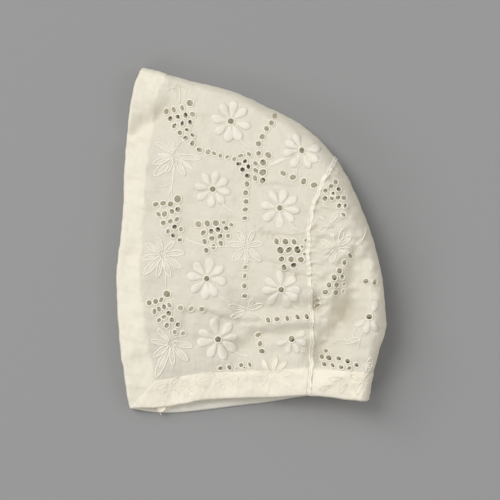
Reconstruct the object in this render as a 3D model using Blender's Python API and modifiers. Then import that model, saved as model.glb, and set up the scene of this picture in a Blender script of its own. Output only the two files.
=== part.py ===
"""Infant's whitework cap, lying on its side on a table.

The face opening is at -X, the back of the head at +X, the neck edge at -Y and the crown at +Y.
The cap rests on its far side at z = 0. Its near side rises to almost THICKNESS at the back.
Every piece is an outer cloth surface, thickened inward, on one shared form: a near layer and a
far layer that meet along the fold line of the crown and the back. Places on the cap are shares
of DEPTH from the face, of HEIGHT from the neck and of THICKNESS from the table.
"""

import math
from typing import NamedTuple

import bmesh
import bpy
import numpy as np
from mathutils import Matrix, Vector

# Overall size
HEIGHT = 0.160
DEPTH = 0.124
THICKNESS = 0.030

# Cloth
PANEL_WALL = 0.0010
HEM_WALL = 0.0016
SEAM_WALL = 0.0017
SEAM_WIDTH = 0.0020
SEAM_RISE = 0.0005
FACE_HEM_AT_NECK = 0.0140
FACE_HEM_AT_MIDDLE = 0.0103
FACE_HEM_AT_CROWN = 0.0109
NECK_HEM = 0.0138
CLEARANCE = 0.0003

# Eyelets
EYELET = 0.0026
DAISY_EYELET = 0.0030
EYELET_SIDES = 7
FAN_REACH = 0.0062
FAN_SPREAD = math.radians(42)
FAR_SHIFT_X = 0.0014
FAR_SHIFT_Y = -0.0020
CUTTER_REACH = 0.0040

# Roundness of the fold: how far it reaches in plan for each unit of its height
FOLD_ROUNDNESS = 1.5

# The fold line's greatest height, as a share of the near layer's height there
FOLD_MOST = 0.58

# Gathers of the back panel along the seam
GATHERS = 12
GATHER_DEPTH = 0.0008
GATHER_REACH = 0.0110
GATHERS_FROM_SHARE = 0.34
GATHERS_TO_SHARE = 0.99

# How far left the seam bows, as a share of DEPTH, and the share up where it bows most
SEAM_BOW_SHARE = 0.074
SEAM_BOW_AT_SHARE = 0.71

# Shares up the face edge where the hem has its neck, neck, middle and crown widths
FACE_HEM_UP = (0.0, 0.15, 0.42, 1.0)

# Where the back panel ends under the seam's crossing of the fold, as a share up
BACK_TOP_SHARE = 0.985

# Rows and columns of the cloth grids
FRONT_COLUMNS = 14
BACK_ROWS = 48
BAND_STEPS = 2


class Steps(NamedTuple):
    """Grid steps of one layer: even ones, then ones that shorten over the last share to the fold."""

    even: int
    shortening: int
    last_share: float


FRONT_NEAR = Steps(17, 6, 0.20)
FRONT_FAR = Steps(13, 4, 0.14)
BACK_NEAR = Steps(3, 5, 0.60)
BACK_FAR = Steps(2, 4, 0.60)
SEAM_NEAR = Steps(30, 6, 0.16)
SEAM_FAR = Steps(9, 5, 0.16)


class Station(NamedTuple):
    """An upright line of the front panel, from the neck edge to the crown fold."""

    across: float
    neck_x: float
    neck_y: float
    far_neck_y: float
    crown_x: float
    crown_y: float


STATIONS = (
    Station(0.0, 0.049, 0.014, 0.013, 0.095, 1.000),
    Station(0.2, 0.181, 0.018, 0.000, 0.274, 0.962),
    Station(0.4, 0.311, 0.036, 0.007, 0.430, 0.931),
    Station(0.6, 0.444, 0.043, 0.020, 0.563, 0.884),
    Station(0.8, 0.578, 0.047, 0.033, 0.693, 0.830),
    Station(0.9, 0.645, 0.051, 0.042, 0.757, 0.789),
    Station(1.0, 0.712, 0.055, 0.050, 0.818, 0.735),
)


class Bow(NamedTuple):
    """How far the face edge lies left of a straight line, as a share of DEPTH."""

    up: float
    left: float


FACE_BOWS = (
    Bow(0.00, 0.000),
    Bow(0.05, 0.014),
    Bow(0.10, 0.026),
    Bow(0.20, 0.048),
    Bow(0.30, 0.060),
    Bow(0.40, 0.067),
    Bow(0.50, 0.057),
    Bow(0.60, 0.052),
    Bow(0.70, 0.053),
    Bow(0.80, 0.046),
    Bow(0.90, 0.035),
    Bow(0.96, 0.020),
    Bow(1.00, 0.000),
)


class BackPoint(NamedTuple):
    """A point of the fold at the back of the head."""

    up: float
    x: float
    y: float


BACK_FOLD = (
    BackPoint(0.0, 0.935, 0.039),
    BackPoint(0.1, 0.951, 0.110),
    BackPoint(0.2, 0.974, 0.182),
    BackPoint(0.3, 0.999, 0.248),
    BackPoint(0.4, 0.995, 0.317),
    BackPoint(0.5, 0.987, 0.383),
    BackPoint(0.6, 0.970, 0.452),
    BackPoint(0.7, 0.946, 0.521),
    BackPoint(0.8, 0.912, 0.590),
    BackPoint(0.9, 0.871, 0.665),
    BackPoint(1.0, 0.823, 0.731),
)


class Rise(NamedTuple):
    """Heights of the near layer across the cap, at one share of HEIGHT, before the fold rounds it."""

    y: float
    face: float
    quarter: float
    middle: float
    seam: float
    back: float


RISE_X = (0.0, 0.25, 0.5, 0.75, 1.0)
RISES = (
    Rise(0.00, 0.28, 0.35, 0.49, 0.75, 0.93),
    Rise(0.25, 0.33, 0.44, 0.61, 0.90, 1.06),
    Rise(0.50, 0.35, 0.47, 0.68, 0.97, 1.13),
    Rise(0.75, 0.34, 0.46, 0.66, 0.93, 1.07),
    Rise(1.00, 0.32, 0.42, 0.59, 0.81, 0.95),
)


class FoldHeight(NamedTuple):
    """Height of the fold line, at a share of its length from the face to the back of the neck."""

    along: float
    height: float


FOLD_HEIGHTS = (
    FoldHeight(0.00, 0.150),
    FoldHeight(0.30, 0.205),
    FoldHeight(0.55, 0.352),
    FoldHeight(0.78, 0.560),
    FoldHeight(1.00, 0.500),
)


class Crease(NamedTuple):
    """A valley in the near layer, or a ridge where its depth is negative."""

    from_x: float
    from_y: float
    to_x: float
    to_y: float
    depth: float
    width: float


CREASES = (
    Crease(0.255, 0.294, 0.515, 0.266, 0.034, 0.036),
    Crease(0.535, 0.246, 0.705, 0.272, -0.026, 0.026),
    Crease(0.520, 0.222, 0.700, 0.246, 0.030, 0.028),
    Crease(0.541, 0.650, 0.723, 0.636, 0.026, 0.030),
    Crease(0.518, 0.538, 0.630, 0.512, 0.024, 0.030),
    Crease(0.567, 0.438, 0.707, 0.394, 0.030, 0.032),
    Crease(0.734, 0.199, 0.842, 0.328, 0.070, 0.044),
    Crease(0.765, 0.300, 0.800, 0.335, -0.040, 0.034),
    Crease(0.756, 0.312, 0.760, 0.334, 0.050, 0.034),
    Crease(0.125, 0.880, 0.032, 0.803, 0.030, 0.036),
    Crease(0.060, 0.180, 0.120, 0.380, -0.018, 0.045),
)


class Fan(NamedTuple):
    """A fan of four eyelets: one at its tip and three along its arc."""

    x: float
    y: float
    heading_deg: float


FANS = (
    Fan(0.274, 0.892, -122),
    Fan(0.478, 0.725, -38),
    Fan(0.229, 0.618, -119),
    Fan(0.429, 0.545, -152),
    Fan(0.596, 0.496, -40),
    Fan(0.188, 0.346, -96),
    Fan(0.812, 0.650, -86),
    Fan(0.863, 0.455, -118),
    Fan(0.782, 0.205, -40),
)


class Chain(NamedTuple):
    """A straight row of eyelets between two motifs."""

    from_x: float
    from_y: float
    to_x: float
    to_y: float
    count: int


CHAINS = (
    Chain(0.312, 0.758, 0.437, 0.734, 3),
    Chain(0.484, 0.658, 0.479, 0.562, 3),
    Chain(0.527, 0.777, 0.569, 0.838, 2),
    Chain(0.617, 0.690, 0.675, 0.668, 2),
    Chain(0.481, 0.423, 0.477, 0.342, 2),
    Chain(0.240, 0.304, 0.317, 0.302, 2),
    Chain(0.563, 0.273, 0.674, 0.282, 2),
)


class Daisy(NamedTuple):
    """The middle of an eight-petalled flower, worked round one eyelet."""

    x: float
    y: float


DAISIES = (
    Daisy(0.426, 0.840),
    Daisy(0.687, 0.755),
    Daisy(0.359, 0.646),
    Daisy(0.606, 0.591),
    Daisy(0.337, 0.390),
    Daisy(0.378, 0.215),
    Daisy(0.611, 0.359),
    Daisy(0.650, 0.218),
)


class Cotton(NamedTuple):
    """Colour and roughness of a piece's cloth."""

    red: float
    green: float
    blue: float
    roughness: float


BATISTE = Cotton(0.83, 0.80, 0.70, 0.88)
HEM_CLOTH = Cotton(0.86, 0.82, 0.69, 0.85)
SEAM_CLOTH = Cotton(0.85, 0.82, 0.70, 0.82)


def column(table, name):
    """The values of one named column of a table."""
    return np.array([getattr(row, name) for row in table])


def smooth(at, places, values):
    """A smooth curve through the values at the places, read where asked."""
    places = np.asarray(places, dtype=float)
    values = np.asarray(values, dtype=float)
    slopes = np.gradient(values, places)
    low = np.clip(np.searchsorted(places, at, side="right") - 1, 0, len(places) - 2)
    step = places[low + 1] - places[low]
    t = (at - places[low]) / step
    start = values[low] * (1 + 2 * t) * (1 - t) ** 2 + values[low + 1] * t**2 * (3 - 2 * t)
    lean = slopes[low] * t * (1 - t) ** 2 - slopes[low + 1] * t**2 * (1 - t)
    return start + lean * step


def unit(vectors):
    """The vectors at length one."""
    return vectors / np.linalg.norm(vectors, axis=-1, keepdims=True)


def to_plan(x, y):
    """Metres in plan from shares of DEPTH and HEIGHT."""
    return np.stack([(x - 0.5) * DEPTH, (y - 0.5) * HEIGHT], axis=-1)


def front_plan(across, up, far):
    """A point of the front of the cap in plan, from the face edge (0) to the seam (1)."""
    across, up, far = np.broadcast_arrays(across, up, far)
    where = column(STATIONS, "across")
    near_neck_y = smooth(across, where, column(STATIONS, "neck_y"))
    far_neck_y = smooth(across, where, column(STATIONS, "far_neck_y"))
    neck_x = smooth(across, where, column(STATIONS, "neck_x"))
    neck_y = np.where(far, far_neck_y, near_neck_y)
    crown_x = smooth(across, where, column(STATIONS, "crown_x"))
    crown_y = smooth(across, where, column(STATIONS, "crown_y"))
    face_bow = smooth(up, column(FACE_BOWS, "up"), column(FACE_BOWS, "left"))
    power = math.log(0.5) / math.log(SEAM_BOW_AT_SHARE)
    seam_bow = SEAM_BOW_SHARE * np.sin(np.pi * np.clip(up, 0, 1) ** power)
    x = neck_x + (crown_x - neck_x) * up - face_bow - (seam_bow - face_bow) * across
    y = neck_y + (crown_y - neck_y) * up
    return to_plan(x, y)


def back_fold_plan(up):
    """A point of the fold at the back of the head."""
    where = column(BACK_FOLD, "up")
    x = smooth(up, where, column(BACK_FOLD, "x"))
    y = smooth(up, where, column(BACK_FOLD, "y"))
    return to_plan(x, y)


def beside_seam(up, far, distance):
    """A point at a distance from the seam's middle: on the front panel's side where negative."""
    up, far, distance = np.broadcast_arrays(up, far, distance)
    middle = front_plan(1.0, up, far)
    length = np.linalg.norm(middle - front_plan(0.0, up, far), axis=-1)
    front = front_plan(1.0 + np.minimum(distance, 0) / length, up, far)
    back = middle + unit(back_fold_plan(up) - middle) * np.maximum(distance, 0)[..., None]
    return np.where((distance < 0)[..., None], front, back)


def back_plan(across, up, far):
    """A point of the back of the cap in plan, from beside the seam (0) to the fold (1)."""
    border = beside_seam(up, far, SEAM_WIDTH / 2 + CLEARANCE)
    fold = back_fold_plan(up)
    return border + (fold - border) * np.asarray(across)[..., None]


def fold_line():
    """The fold of the crown and the back in plan, from the face to the neck."""
    crown = front_plan(np.linspace(0, 1, 60), 1.0, False)
    back = back_fold_plan(np.linspace(1, 0, 60))
    return np.concatenate([crown, back])


FOLD_LINE = fold_line()
SEAM_LINE = front_plan(1.0, np.linspace(0, 1, 80), False)


def fold_distance(plan):
    """Distance in plan to the fold line, and the share along it of its nearest point."""
    start, end = FOLD_LINE[:-1], FOLD_LINE[1:]
    run = end - start
    length = np.linalg.norm(run, axis=-1)
    offset = plan[:, None, :] - start[None]
    t = np.clip((offset * run).sum(-1) / length**2, 0, 1)
    gap = np.linalg.norm(offset - t[..., None] * run, axis=-1)
    nearest = gap.argmin(axis=1)
    row = np.arange(len(plan))
    before = np.concatenate([[0.0], np.cumsum(length)])
    along = (before[nearest] + t[row, nearest] * length[nearest]) / before[-1]
    return gap[row, nearest], along


def rounded(distance, reach):
    """A quarter ellipse: 0 at the fold and 1 from its reach on."""
    return np.sqrt(1 - (1 - np.clip(distance / reach, 0, 1)) ** 2)


def rise(plan):
    """Height of the near layer away from its fold, read smoothly from the table."""
    x = np.clip(plan[:, 0] / DEPTH + 0.5, 0, 1)
    y = np.clip(plan[:, 1] / HEIGHT + 0.5, 0, 1)
    names = ("face", "quarter", "middle", "seam", "back")
    heights = np.stack([smooth(y, column(RISES, "y"), column(RISES, name)) for name in names])
    result = np.empty(len(plan))
    for spot in range(len(plan)):
        result[spot] = smooth(x[spot : spot + 1], RISE_X, heights[:, spot])[0]
    return result * THICKNESS


def creased(plan):
    """Depth of the creases, each a soft valley along a straight run."""
    depth = np.zeros(len(plan))
    for crease in CREASES:
        start = to_plan(crease.from_x, crease.from_y)
        run = to_plan(crease.to_x, crease.to_y) - start
        t = np.clip((plan - start) @ run / (run @ run), 0, 1)
        gap = np.linalg.norm(plan - start - t[:, None] * run, axis=-1)
        depth += crease.depth * THICKNESS * np.exp(-((gap / (crease.width * DEPTH)) ** 2))
    return depth


def gathered(plan):
    """Ribs of the back panel that run out from the seam and fade."""
    seam_x = np.interp(plan[:, 1], SEAM_LINE[:, 1], SEAM_LINE[:, 0])
    up = np.interp(plan[:, 1], SEAM_LINE[:, 1], np.linspace(0, 1, len(SEAM_LINE)))
    out = plan[:, 0] - seam_x
    share = (up - GATHERS_FROM_SHARE) / (GATHERS_TO_SHARE - GATHERS_FROM_SHARE)
    ribs = np.sin(2 * np.pi * GATHERS * share)
    window = np.sin(np.pi * np.clip(share, 0, 1)) ** 0.5
    fade = np.exp(-((out / GATHER_REACH) ** 2)) * np.clip(out / SEAM_WIDTH, 0, 1)
    return GATHER_DEPTH * ribs * window * fade


def outer(plan, far, on_fold):
    """Outer cloth surface over points in plan, on the near or the far layer."""
    distance, along = fold_distance(plan)
    distance = np.where(on_fold, 0.0, distance)
    top = rise(plan)
    fold = THICKNESS * smooth(along, column(FOLD_HEIGHTS, "along"), column(FOLD_HEIGHTS, "height"))
    fold = np.minimum(fold, FOLD_MOST * top)
    above = top - fold
    share = rounded(distance, FOLD_ROUNDNESS * above)
    near = fold + (above - creased(plan) + gathered(plan)) * share
    under = fold * (1 - rounded(distance, FOLD_ROUNDNESS * fold))
    return np.column_stack([plan, np.where(far, under, near)])


def to_fold(steps):
    """Shares from an edge (0) to a fold (1)."""
    even = np.linspace(0, 1 - steps.last_share, steps.even + 1)
    left = np.arange(steps.shortening - 1, -1, -1) / steps.shortening
    return np.concatenate([even, 1 - steps.last_share * left**2])


class Path(NamedTuple):
    """Shares along a way from the near edge over the fold to the far edge."""

    share: np.ndarray
    far: np.ndarray

    @property
    def steps(self):
        return len(self.share) - 1


def over_fold(near, far):
    """A path that joins the near shares and the far shares at the fold."""
    share = np.concatenate([near, far[::-1][1:]])
    return Path(share, np.arange(len(share)) >= len(near))


FRONT_PATH = over_fold(to_fold(FRONT_NEAR), to_fold(FRONT_FAR))
BACK_PATH = over_fold(to_fold(BACK_NEAR), to_fold(BACK_FAR))
SEAM_PATH = over_fold(to_fold(SEAM_NEAR), to_fold(SEAM_FAR))


def shaped_grid(name, columns, rows, place, wall, cloth, collection):
    """A grid laid on the cap's outer surface and thickened inward."""
    form = bmesh.new()
    bmesh.ops.create_grid(form, x_segments=columns, y_segments=rows, size=1.0)
    mesh = bpy.data.meshes.new(name)
    form.to_mesh(mesh)
    form.free()
    flat = np.empty(len(mesh.vertices) * 3)
    mesh.vertices.foreach_get("co", flat)
    spots = flat.reshape(-1, 3)
    right = np.rint((spots[:, 0] + 1) / 2 * columns).astype(int)
    up = np.rint((spots[:, 1] + 1) / 2 * rows).astype(int)
    mesh.vertices.foreach_set("co", place(right, up).ravel())
    mesh.update()
    mesh.shade_smooth()
    mesh.materials.append(cotton_material(name, cloth))
    piece = bpy.data.objects.new(name, mesh)
    collection.objects.link(piece)
    thick = piece.modifiers.new("cloth", "SOLIDIFY")
    thick.thickness = wall
    thick.offset = -1.0
    return piece


def cotton_material(name, cloth):
    """Plain cotton for one piece."""
    material = bpy.data.materials.new(name + "_cotton")
    material.use_nodes = True
    shader = material.node_tree.nodes["Principled BSDF"]
    shader.inputs["Base Color"].default_value = (cloth.red, cloth.green, cloth.blue, 1.0)
    shader.inputs["Roughness"].default_value = cloth.roughness
    shader.inputs["Metallic"].default_value = 0.0
    return material


def face_hem(up):
    """Width of the front hem at a share up the face edge."""
    widths = (FACE_HEM_AT_NECK, FACE_HEM_AT_NECK, FACE_HEM_AT_MIDDLE, FACE_HEM_AT_CROWN)
    return smooth(up, FACE_HEM_UP, widths)


def front_share(distance, up, far):
    """Share across the front at a distance from the face edge."""
    span = front_plan(1.0, up, far) - front_plan(0.0, up, far)
    return distance / np.linalg.norm(span, axis=-1)


def front_between_hem_and_seam(across, up, far):
    """A point of the front, from beside the front hem (0) to beside the seam (1)."""
    low = front_share(face_hem(up) + CLEARANCE / 2, up, far)
    high = 1.0 - front_share(SEAM_WIDTH / 2 + CLEARANCE, up, far)
    return front_plan(low + (high - low) * across, up, far)


def front_neck_share(distance, across, far):
    """Share up the front at a distance from the neck edge."""
    span = front_plan(across, 1.0, far) - front_plan(across, 0.0, far)
    return distance / np.linalg.norm(span, axis=-1)


def back_neck_share(distance, across):
    """Share up the back at a distance from the neck edge."""
    seam = np.linalg.norm(front_plan(1.0, 1.0, False) - front_plan(1.0, 0.0, False))
    fold = np.linalg.norm(back_fold_plan(1.0) - back_fold_plan(0.0))
    return distance / (seam + (fold - seam) * across)


def make_front_panel(collection):
    """The embroidered panel over the head, from the near neck hem to the far one."""

    def place(right, up):
        across = right / FRONT_COLUMNS
        far = FRONT_PATH.far[up]
        low = front_neck_share(NECK_HEM + CLEARANCE / 2, across, far)
        share = low + (1 - low) * FRONT_PATH.share[up]
        plan = front_between_hem_and_seam(across, share, far)
        return outer(plan, far, FRONT_PATH.share[up] == 1.0)

    return shaped_grid(
        "front_panel", FRONT_COLUMNS, FRONT_PATH.steps, place, PANEL_WALL, BATISTE, collection
    )


def make_back_panel(collection):
    """The gathered panel at the back, from the seam round the fold to the seam again."""

    def place(right, up):
        across = BACK_PATH.share[right]
        far = BACK_PATH.far[right]
        low = back_neck_share(NECK_HEM + CLEARANCE / 2, across)
        share = low + (BACK_TOP_SHARE - low) * up / BACK_ROWS
        plan = back_plan(across, share, far)
        return outer(plan, far, across == 1.0)

    return shaped_grid("back_panel", BACK_PATH.steps, BACK_ROWS, place, PANEL_WALL, BATISTE, collection)


def make_front_hem(collection):
    """The doubled band round the face opening."""

    def place(right, up):
        far = FRONT_PATH.far[up]
        share = FRONT_PATH.share[up]
        width = front_share(face_hem(share) - CLEARANCE / 2, share, far)
        plan = front_plan(width * right / BAND_STEPS, share, far)
        return outer(plan, far, share == 1.0)

    return shaped_grid("front_hem", BAND_STEPS, FRONT_PATH.steps, place, HEM_WALL, HEM_CLOTH, collection)


def make_crown_seam(collection):
    """The raised seam from the near neck edge over the crown to the far neck edge."""

    def place(right, up):
        far = SEAM_PATH.far[up]
        share = SEAM_PATH.share[up]
        plan = beside_seam(share, far, (right / BAND_STEPS - 0.5) * SEAM_WIDTH)
        points = outer(plan, far, share == 1.0)
        distance, _ = fold_distance(plan)
        lift = SEAM_RISE * rounded(distance, FOLD_ROUNDNESS * SEAM_WIDTH)
        points[:, 2] += np.where(far | (share == 1.0), 0.0, lift)
        return points

    return shaped_grid("crown_seam", BAND_STEPS, SEAM_PATH.steps, place, SEAM_WALL, SEAM_CLOTH, collection)


def make_side_neck_hem(name, far_side, collection):
    """The neck hem under one side of the front panel."""

    def place(right, up):
        across = right / FRONT_COLUMNS
        far = np.full(len(right), far_side)
        step = BAND_STEPS - up if far_side else up
        share = front_neck_share(NECK_HEM - CLEARANCE / 2, across, far) * step / BAND_STEPS
        plan = front_between_hem_and_seam(across, share, far)
        return outer(plan, far, np.zeros(len(right), dtype=bool))

    return shaped_grid(name, FRONT_COLUMNS, BAND_STEPS, place, HEM_WALL, HEM_CLOTH, collection)


def make_back_neck_hem(collection):
    """The neck hem under the back panel, round the fold at the back."""

    def place(right, up):
        across = BACK_PATH.share[right]
        far = BACK_PATH.far[right]
        share = back_neck_share(NECK_HEM - CLEARANCE / 2, across) * up / BAND_STEPS
        return outer(back_plan(across, share, far), far, across == 1.0)

    return shaped_grid("neck_hem_back", BACK_PATH.steps, BAND_STEPS, place, HEM_WALL, HEM_CLOTH, collection)


class Eyelet(NamedTuple):
    """A round hole through one layer of cloth."""

    centre: np.ndarray
    diameter: float


def fan_eyelets(fan):
    """The tip of a fan and three eyelets round it."""
    tip = to_plan(fan.x, fan.y)
    places = [Eyelet(tip, EYELET)]
    for turn in (-1, 0, 1):
        angle = math.radians(fan.heading_deg) + turn * FAN_SPREAD
        arm = FAN_REACH * np.array([math.cos(angle), math.sin(angle)])
        places.append(Eyelet(tip + arm, EYELET))
    return places


def chain_eyelets(chain):
    """Evenly spaced eyelets along a chain."""
    start = to_plan(chain.from_x, chain.from_y)
    end = to_plan(chain.to_x, chain.to_y)
    return [Eyelet(start + (end - start) * t, EYELET) for t in np.linspace(0, 1, chain.count)]


def all_eyelets():
    """Every eyelet of one side of the cap."""
    eyelets = [Eyelet(to_plan(daisy.x, daisy.y), DAISY_EYELET) for daisy in DAISIES]
    for fan in FANS:
        eyelets.extend(fan_eyelets(fan))
    for chain in CHAINS:
        eyelets.extend(chain_eyelets(chain))
    return eyelets


def make_eyelet_cutter(name, far_side, collection):
    """Upright pins, one through each eyelet of one layer."""
    pins = bmesh.new()
    shift = np.array([FAR_SHIFT_X, FAR_SHIFT_Y]) if far_side else np.zeros(2)
    for eyelet in all_eyelets():
        centre = eyelet.centre + shift
        spot = centre[None]
        off_fold = np.zeros(1, dtype=bool)
        near = outer(spot, np.zeros(1, dtype=bool), off_fold)[0, 2]
        under = outer(spot, np.ones(1, dtype=bool), off_fold)[0, 2]
        middle = (near + under) / 2
        low, high = (under - CUTTER_REACH, middle) if far_side else (middle, near + CUTTER_REACH)
        bmesh.ops.create_cone(
            pins,
            cap_ends=True,
            segments=EYELET_SIDES,
            radius1=eyelet.diameter / 2,
            radius2=eyelet.diameter / 2,
            depth=high - low,
            matrix=Matrix.Translation(Vector((centre[0], centre[1], (low + high) / 2))),
        )
    mesh = bpy.data.meshes.new(name)
    pins.to_mesh(mesh)
    pins.free()
    cutter = bpy.data.objects.new(name, mesh)
    cutter.hide_render = True
    cutter.display_type = "WIRE"
    collection.objects.link(cutter)
    return cutter


def pierce(piece, cutter):
    """Cuts the cutter's pins out of a piece."""
    cut = piece.modifiers.new(cutter.name, "BOOLEAN")
    cut.operation = "DIFFERENCE"
    cut.solver = "EXACT"
    cut.object = cutter


def new_collection(name):
    """A collection linked to the scene."""
    collection = bpy.data.collections.new(name)
    bpy.context.scene.collection.children.link(collection)
    return collection


def main():
    """Builds the cap."""
    for old in list(bpy.data.objects):
        bpy.data.objects.remove(old, do_unlink=True)
    cap = new_collection("child_cap")
    cutters = new_collection("cutters")

    panels = [make_front_panel(cap), make_back_panel(cap)]
    trims = [
        make_front_hem(cap),
        make_crown_seam(cap),
        make_side_neck_hem("neck_hem_left", False, cap),
        make_side_neck_hem("neck_hem_right", True, cap),
        make_back_neck_hem(cap),
    ]
    for name, far_side in (("near_eyelets", False), ("far_eyelets", True)):
        cutter = make_eyelet_cutter(name, far_side, cutters)
        for panel in panels:
            pierce(panel, cutter)

    middle = bpy.data.objects.new("cap_middle", None)
    cap.objects.link(middle)
    for piece in panels + trims:
        piece.parent = middle


main()
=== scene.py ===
"""Infant's whitework cap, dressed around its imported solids.

The cap lies on its side. Every piece is worked out from one form of the cloth: a near layer and
a far layer over the same plan, which meet along the fold of the crown and the back. The
embroidery is charted on the near layer by the photograph's own pixels, and repeated on the far one.
"""

import logging
import math
from dataclasses import dataclass, field
from enum import Enum
from typing import NamedTuple

import bpy
import numpy as np
from numpy.typing import NDArray
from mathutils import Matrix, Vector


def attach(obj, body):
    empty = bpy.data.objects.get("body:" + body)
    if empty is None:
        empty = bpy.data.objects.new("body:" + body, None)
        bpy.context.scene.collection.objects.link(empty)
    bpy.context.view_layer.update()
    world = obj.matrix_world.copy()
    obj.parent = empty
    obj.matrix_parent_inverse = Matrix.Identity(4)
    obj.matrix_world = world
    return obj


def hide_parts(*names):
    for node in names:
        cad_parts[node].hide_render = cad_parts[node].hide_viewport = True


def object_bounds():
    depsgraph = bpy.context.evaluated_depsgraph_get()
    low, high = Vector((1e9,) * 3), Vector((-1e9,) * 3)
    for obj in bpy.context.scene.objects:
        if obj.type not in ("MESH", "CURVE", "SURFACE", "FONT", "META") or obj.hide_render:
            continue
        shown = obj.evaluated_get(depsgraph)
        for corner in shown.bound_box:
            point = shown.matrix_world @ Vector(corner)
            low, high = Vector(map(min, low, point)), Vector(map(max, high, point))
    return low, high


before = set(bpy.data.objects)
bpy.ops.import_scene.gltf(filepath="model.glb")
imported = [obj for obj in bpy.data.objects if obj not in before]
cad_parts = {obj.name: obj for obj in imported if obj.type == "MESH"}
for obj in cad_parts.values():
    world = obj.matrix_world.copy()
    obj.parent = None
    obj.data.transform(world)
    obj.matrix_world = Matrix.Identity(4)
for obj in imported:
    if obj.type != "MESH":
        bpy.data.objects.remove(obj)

Array = NDArray[np.float64]
Flags = NDArray[np.bool_]
Faces = NDArray[np.int64]
Values = Array | float
Pixels = float | list[float]
LOG = logging.getLogger("cap")
CAD_BOUNDS = [[float(v) for v in corner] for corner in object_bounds()]

# The cap's box in the photograph, in pixels, and the photograph's width
PHOTO_LEFT, PHOTO_RIGHT = 116.3, 385.6
PHOTO_TOP, PHOTO_FOOT = 66.3, 414.2
PHOTO_WIDTH = 500


class Side(Enum):
    """The layer of cloth that a piece lies on."""

    NEAR = "near"
    FAR = "far"


class LeafKind(Enum):
    """How a leaf is worked."""

    OUTLINED = "outlined"
    FILLED = "filled"


class Station(NamedTuple):
    """An upright line of the front panel, in shares of the cap's box."""

    across: float
    neck_x: float
    neck_y: float
    far_neck_y: float
    crown_x: float
    crown_y: float


STATIONS = (
    Station(0.0, 0.049, 0.014, 0.013, 0.095, 1.000),
    Station(0.2, 0.181, 0.018, 0.000, 0.274, 0.962),
    Station(0.4, 0.311, 0.036, 0.007, 0.430, 0.931),
    Station(0.6, 0.444, 0.043, 0.020, 0.563, 0.884),
    Station(0.8, 0.578, 0.047, 0.033, 0.693, 0.830),
    Station(0.9, 0.645, 0.051, 0.042, 0.757, 0.789),
    Station(1.0, 0.712, 0.055, 0.050, 0.818, 0.735),
)


class Bow(NamedTuple):
    """How far the face edge lies left of a straight line, as a share of the cap's depth."""

    up: float
    left: float


FACE_BOWS = (
    Bow(0.00, 0.000),
    Bow(0.05, 0.014),
    Bow(0.10, 0.026),
    Bow(0.20, 0.048),
    Bow(0.30, 0.060),
    Bow(0.40, 0.067),
    Bow(0.50, 0.057),
    Bow(0.60, 0.052),
    Bow(0.70, 0.053),
    Bow(0.80, 0.046),
    Bow(0.90, 0.035),
    Bow(0.96, 0.020),
    Bow(1.00, 0.000),
)


class HemWidth(NamedTuple):
    """Width of the front hem, in metres, at a share up the face edge."""

    up: float
    width: float


FACE_HEM_WIDTHS = (
    HemWidth(0.00, 0.0140),
    HemWidth(0.15, 0.0140),
    HemWidth(0.42, 0.0103),
    HemWidth(1.00, 0.0109),
)


class BackPoint(NamedTuple):
    """A point of the fold at the back of the head, in shares of the cap's box."""

    up: float
    x: float
    y: float


BACK_FOLD = (
    BackPoint(0.0, 0.935, 0.039),
    BackPoint(0.1, 0.951, 0.110),
    BackPoint(0.2, 0.974, 0.182),
    BackPoint(0.3, 0.999, 0.248),
    BackPoint(0.4, 0.995, 0.317),
    BackPoint(0.5, 0.987, 0.383),
    BackPoint(0.6, 0.970, 0.452),
    BackPoint(0.7, 0.946, 0.521),
    BackPoint(0.8, 0.912, 0.590),
    BackPoint(0.9, 0.871, 0.665),
    BackPoint(1.0, 0.823, 0.731),
)


class Rise(NamedTuple):
    """Heights of the near layer across the cap at one share up, before the fold rounds it."""

    y: float
    face: float
    quarter: float
    middle: float
    seam: float
    back: float


RISE_X = (0.0, 0.25, 0.5, 0.75, 1.0)
RISES = (
    Rise(0.00, 0.20, 0.17, 0.22, 0.47, 0.83),
    Rise(0.12, 0.24, 0.29, 0.37, 0.67, 0.95),
    Rise(0.25, 0.27, 0.40, 0.55, 0.85, 1.05),
    Rise(0.50, 0.28, 0.45, 0.67, 0.96, 1.12),
    Rise(0.75, 0.28, 0.42, 0.58, 0.80, 0.93),
    Rise(1.00, 0.28, 0.38, 0.50, 0.66, 0.80),
)


class FoldHeight(NamedTuple):
    """Height of the fold line at a share of its length from the face."""

    along: float
    height: float


FOLD_HEIGHTS = (
    FoldHeight(0.00, 0.150),
    FoldHeight(0.30, 0.205),
    FoldHeight(0.55, 0.352),
    FoldHeight(0.78, 0.560),
    FoldHeight(1.00, 0.500),
)


class Crease(NamedTuple):
    """A valley of the near layer between two pixels; a ridge where its depth, in mm, is negative."""

    from_px: float
    from_py: float
    to_px: float
    to_py: float
    depth_mm: float
    width_mm: float


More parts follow.
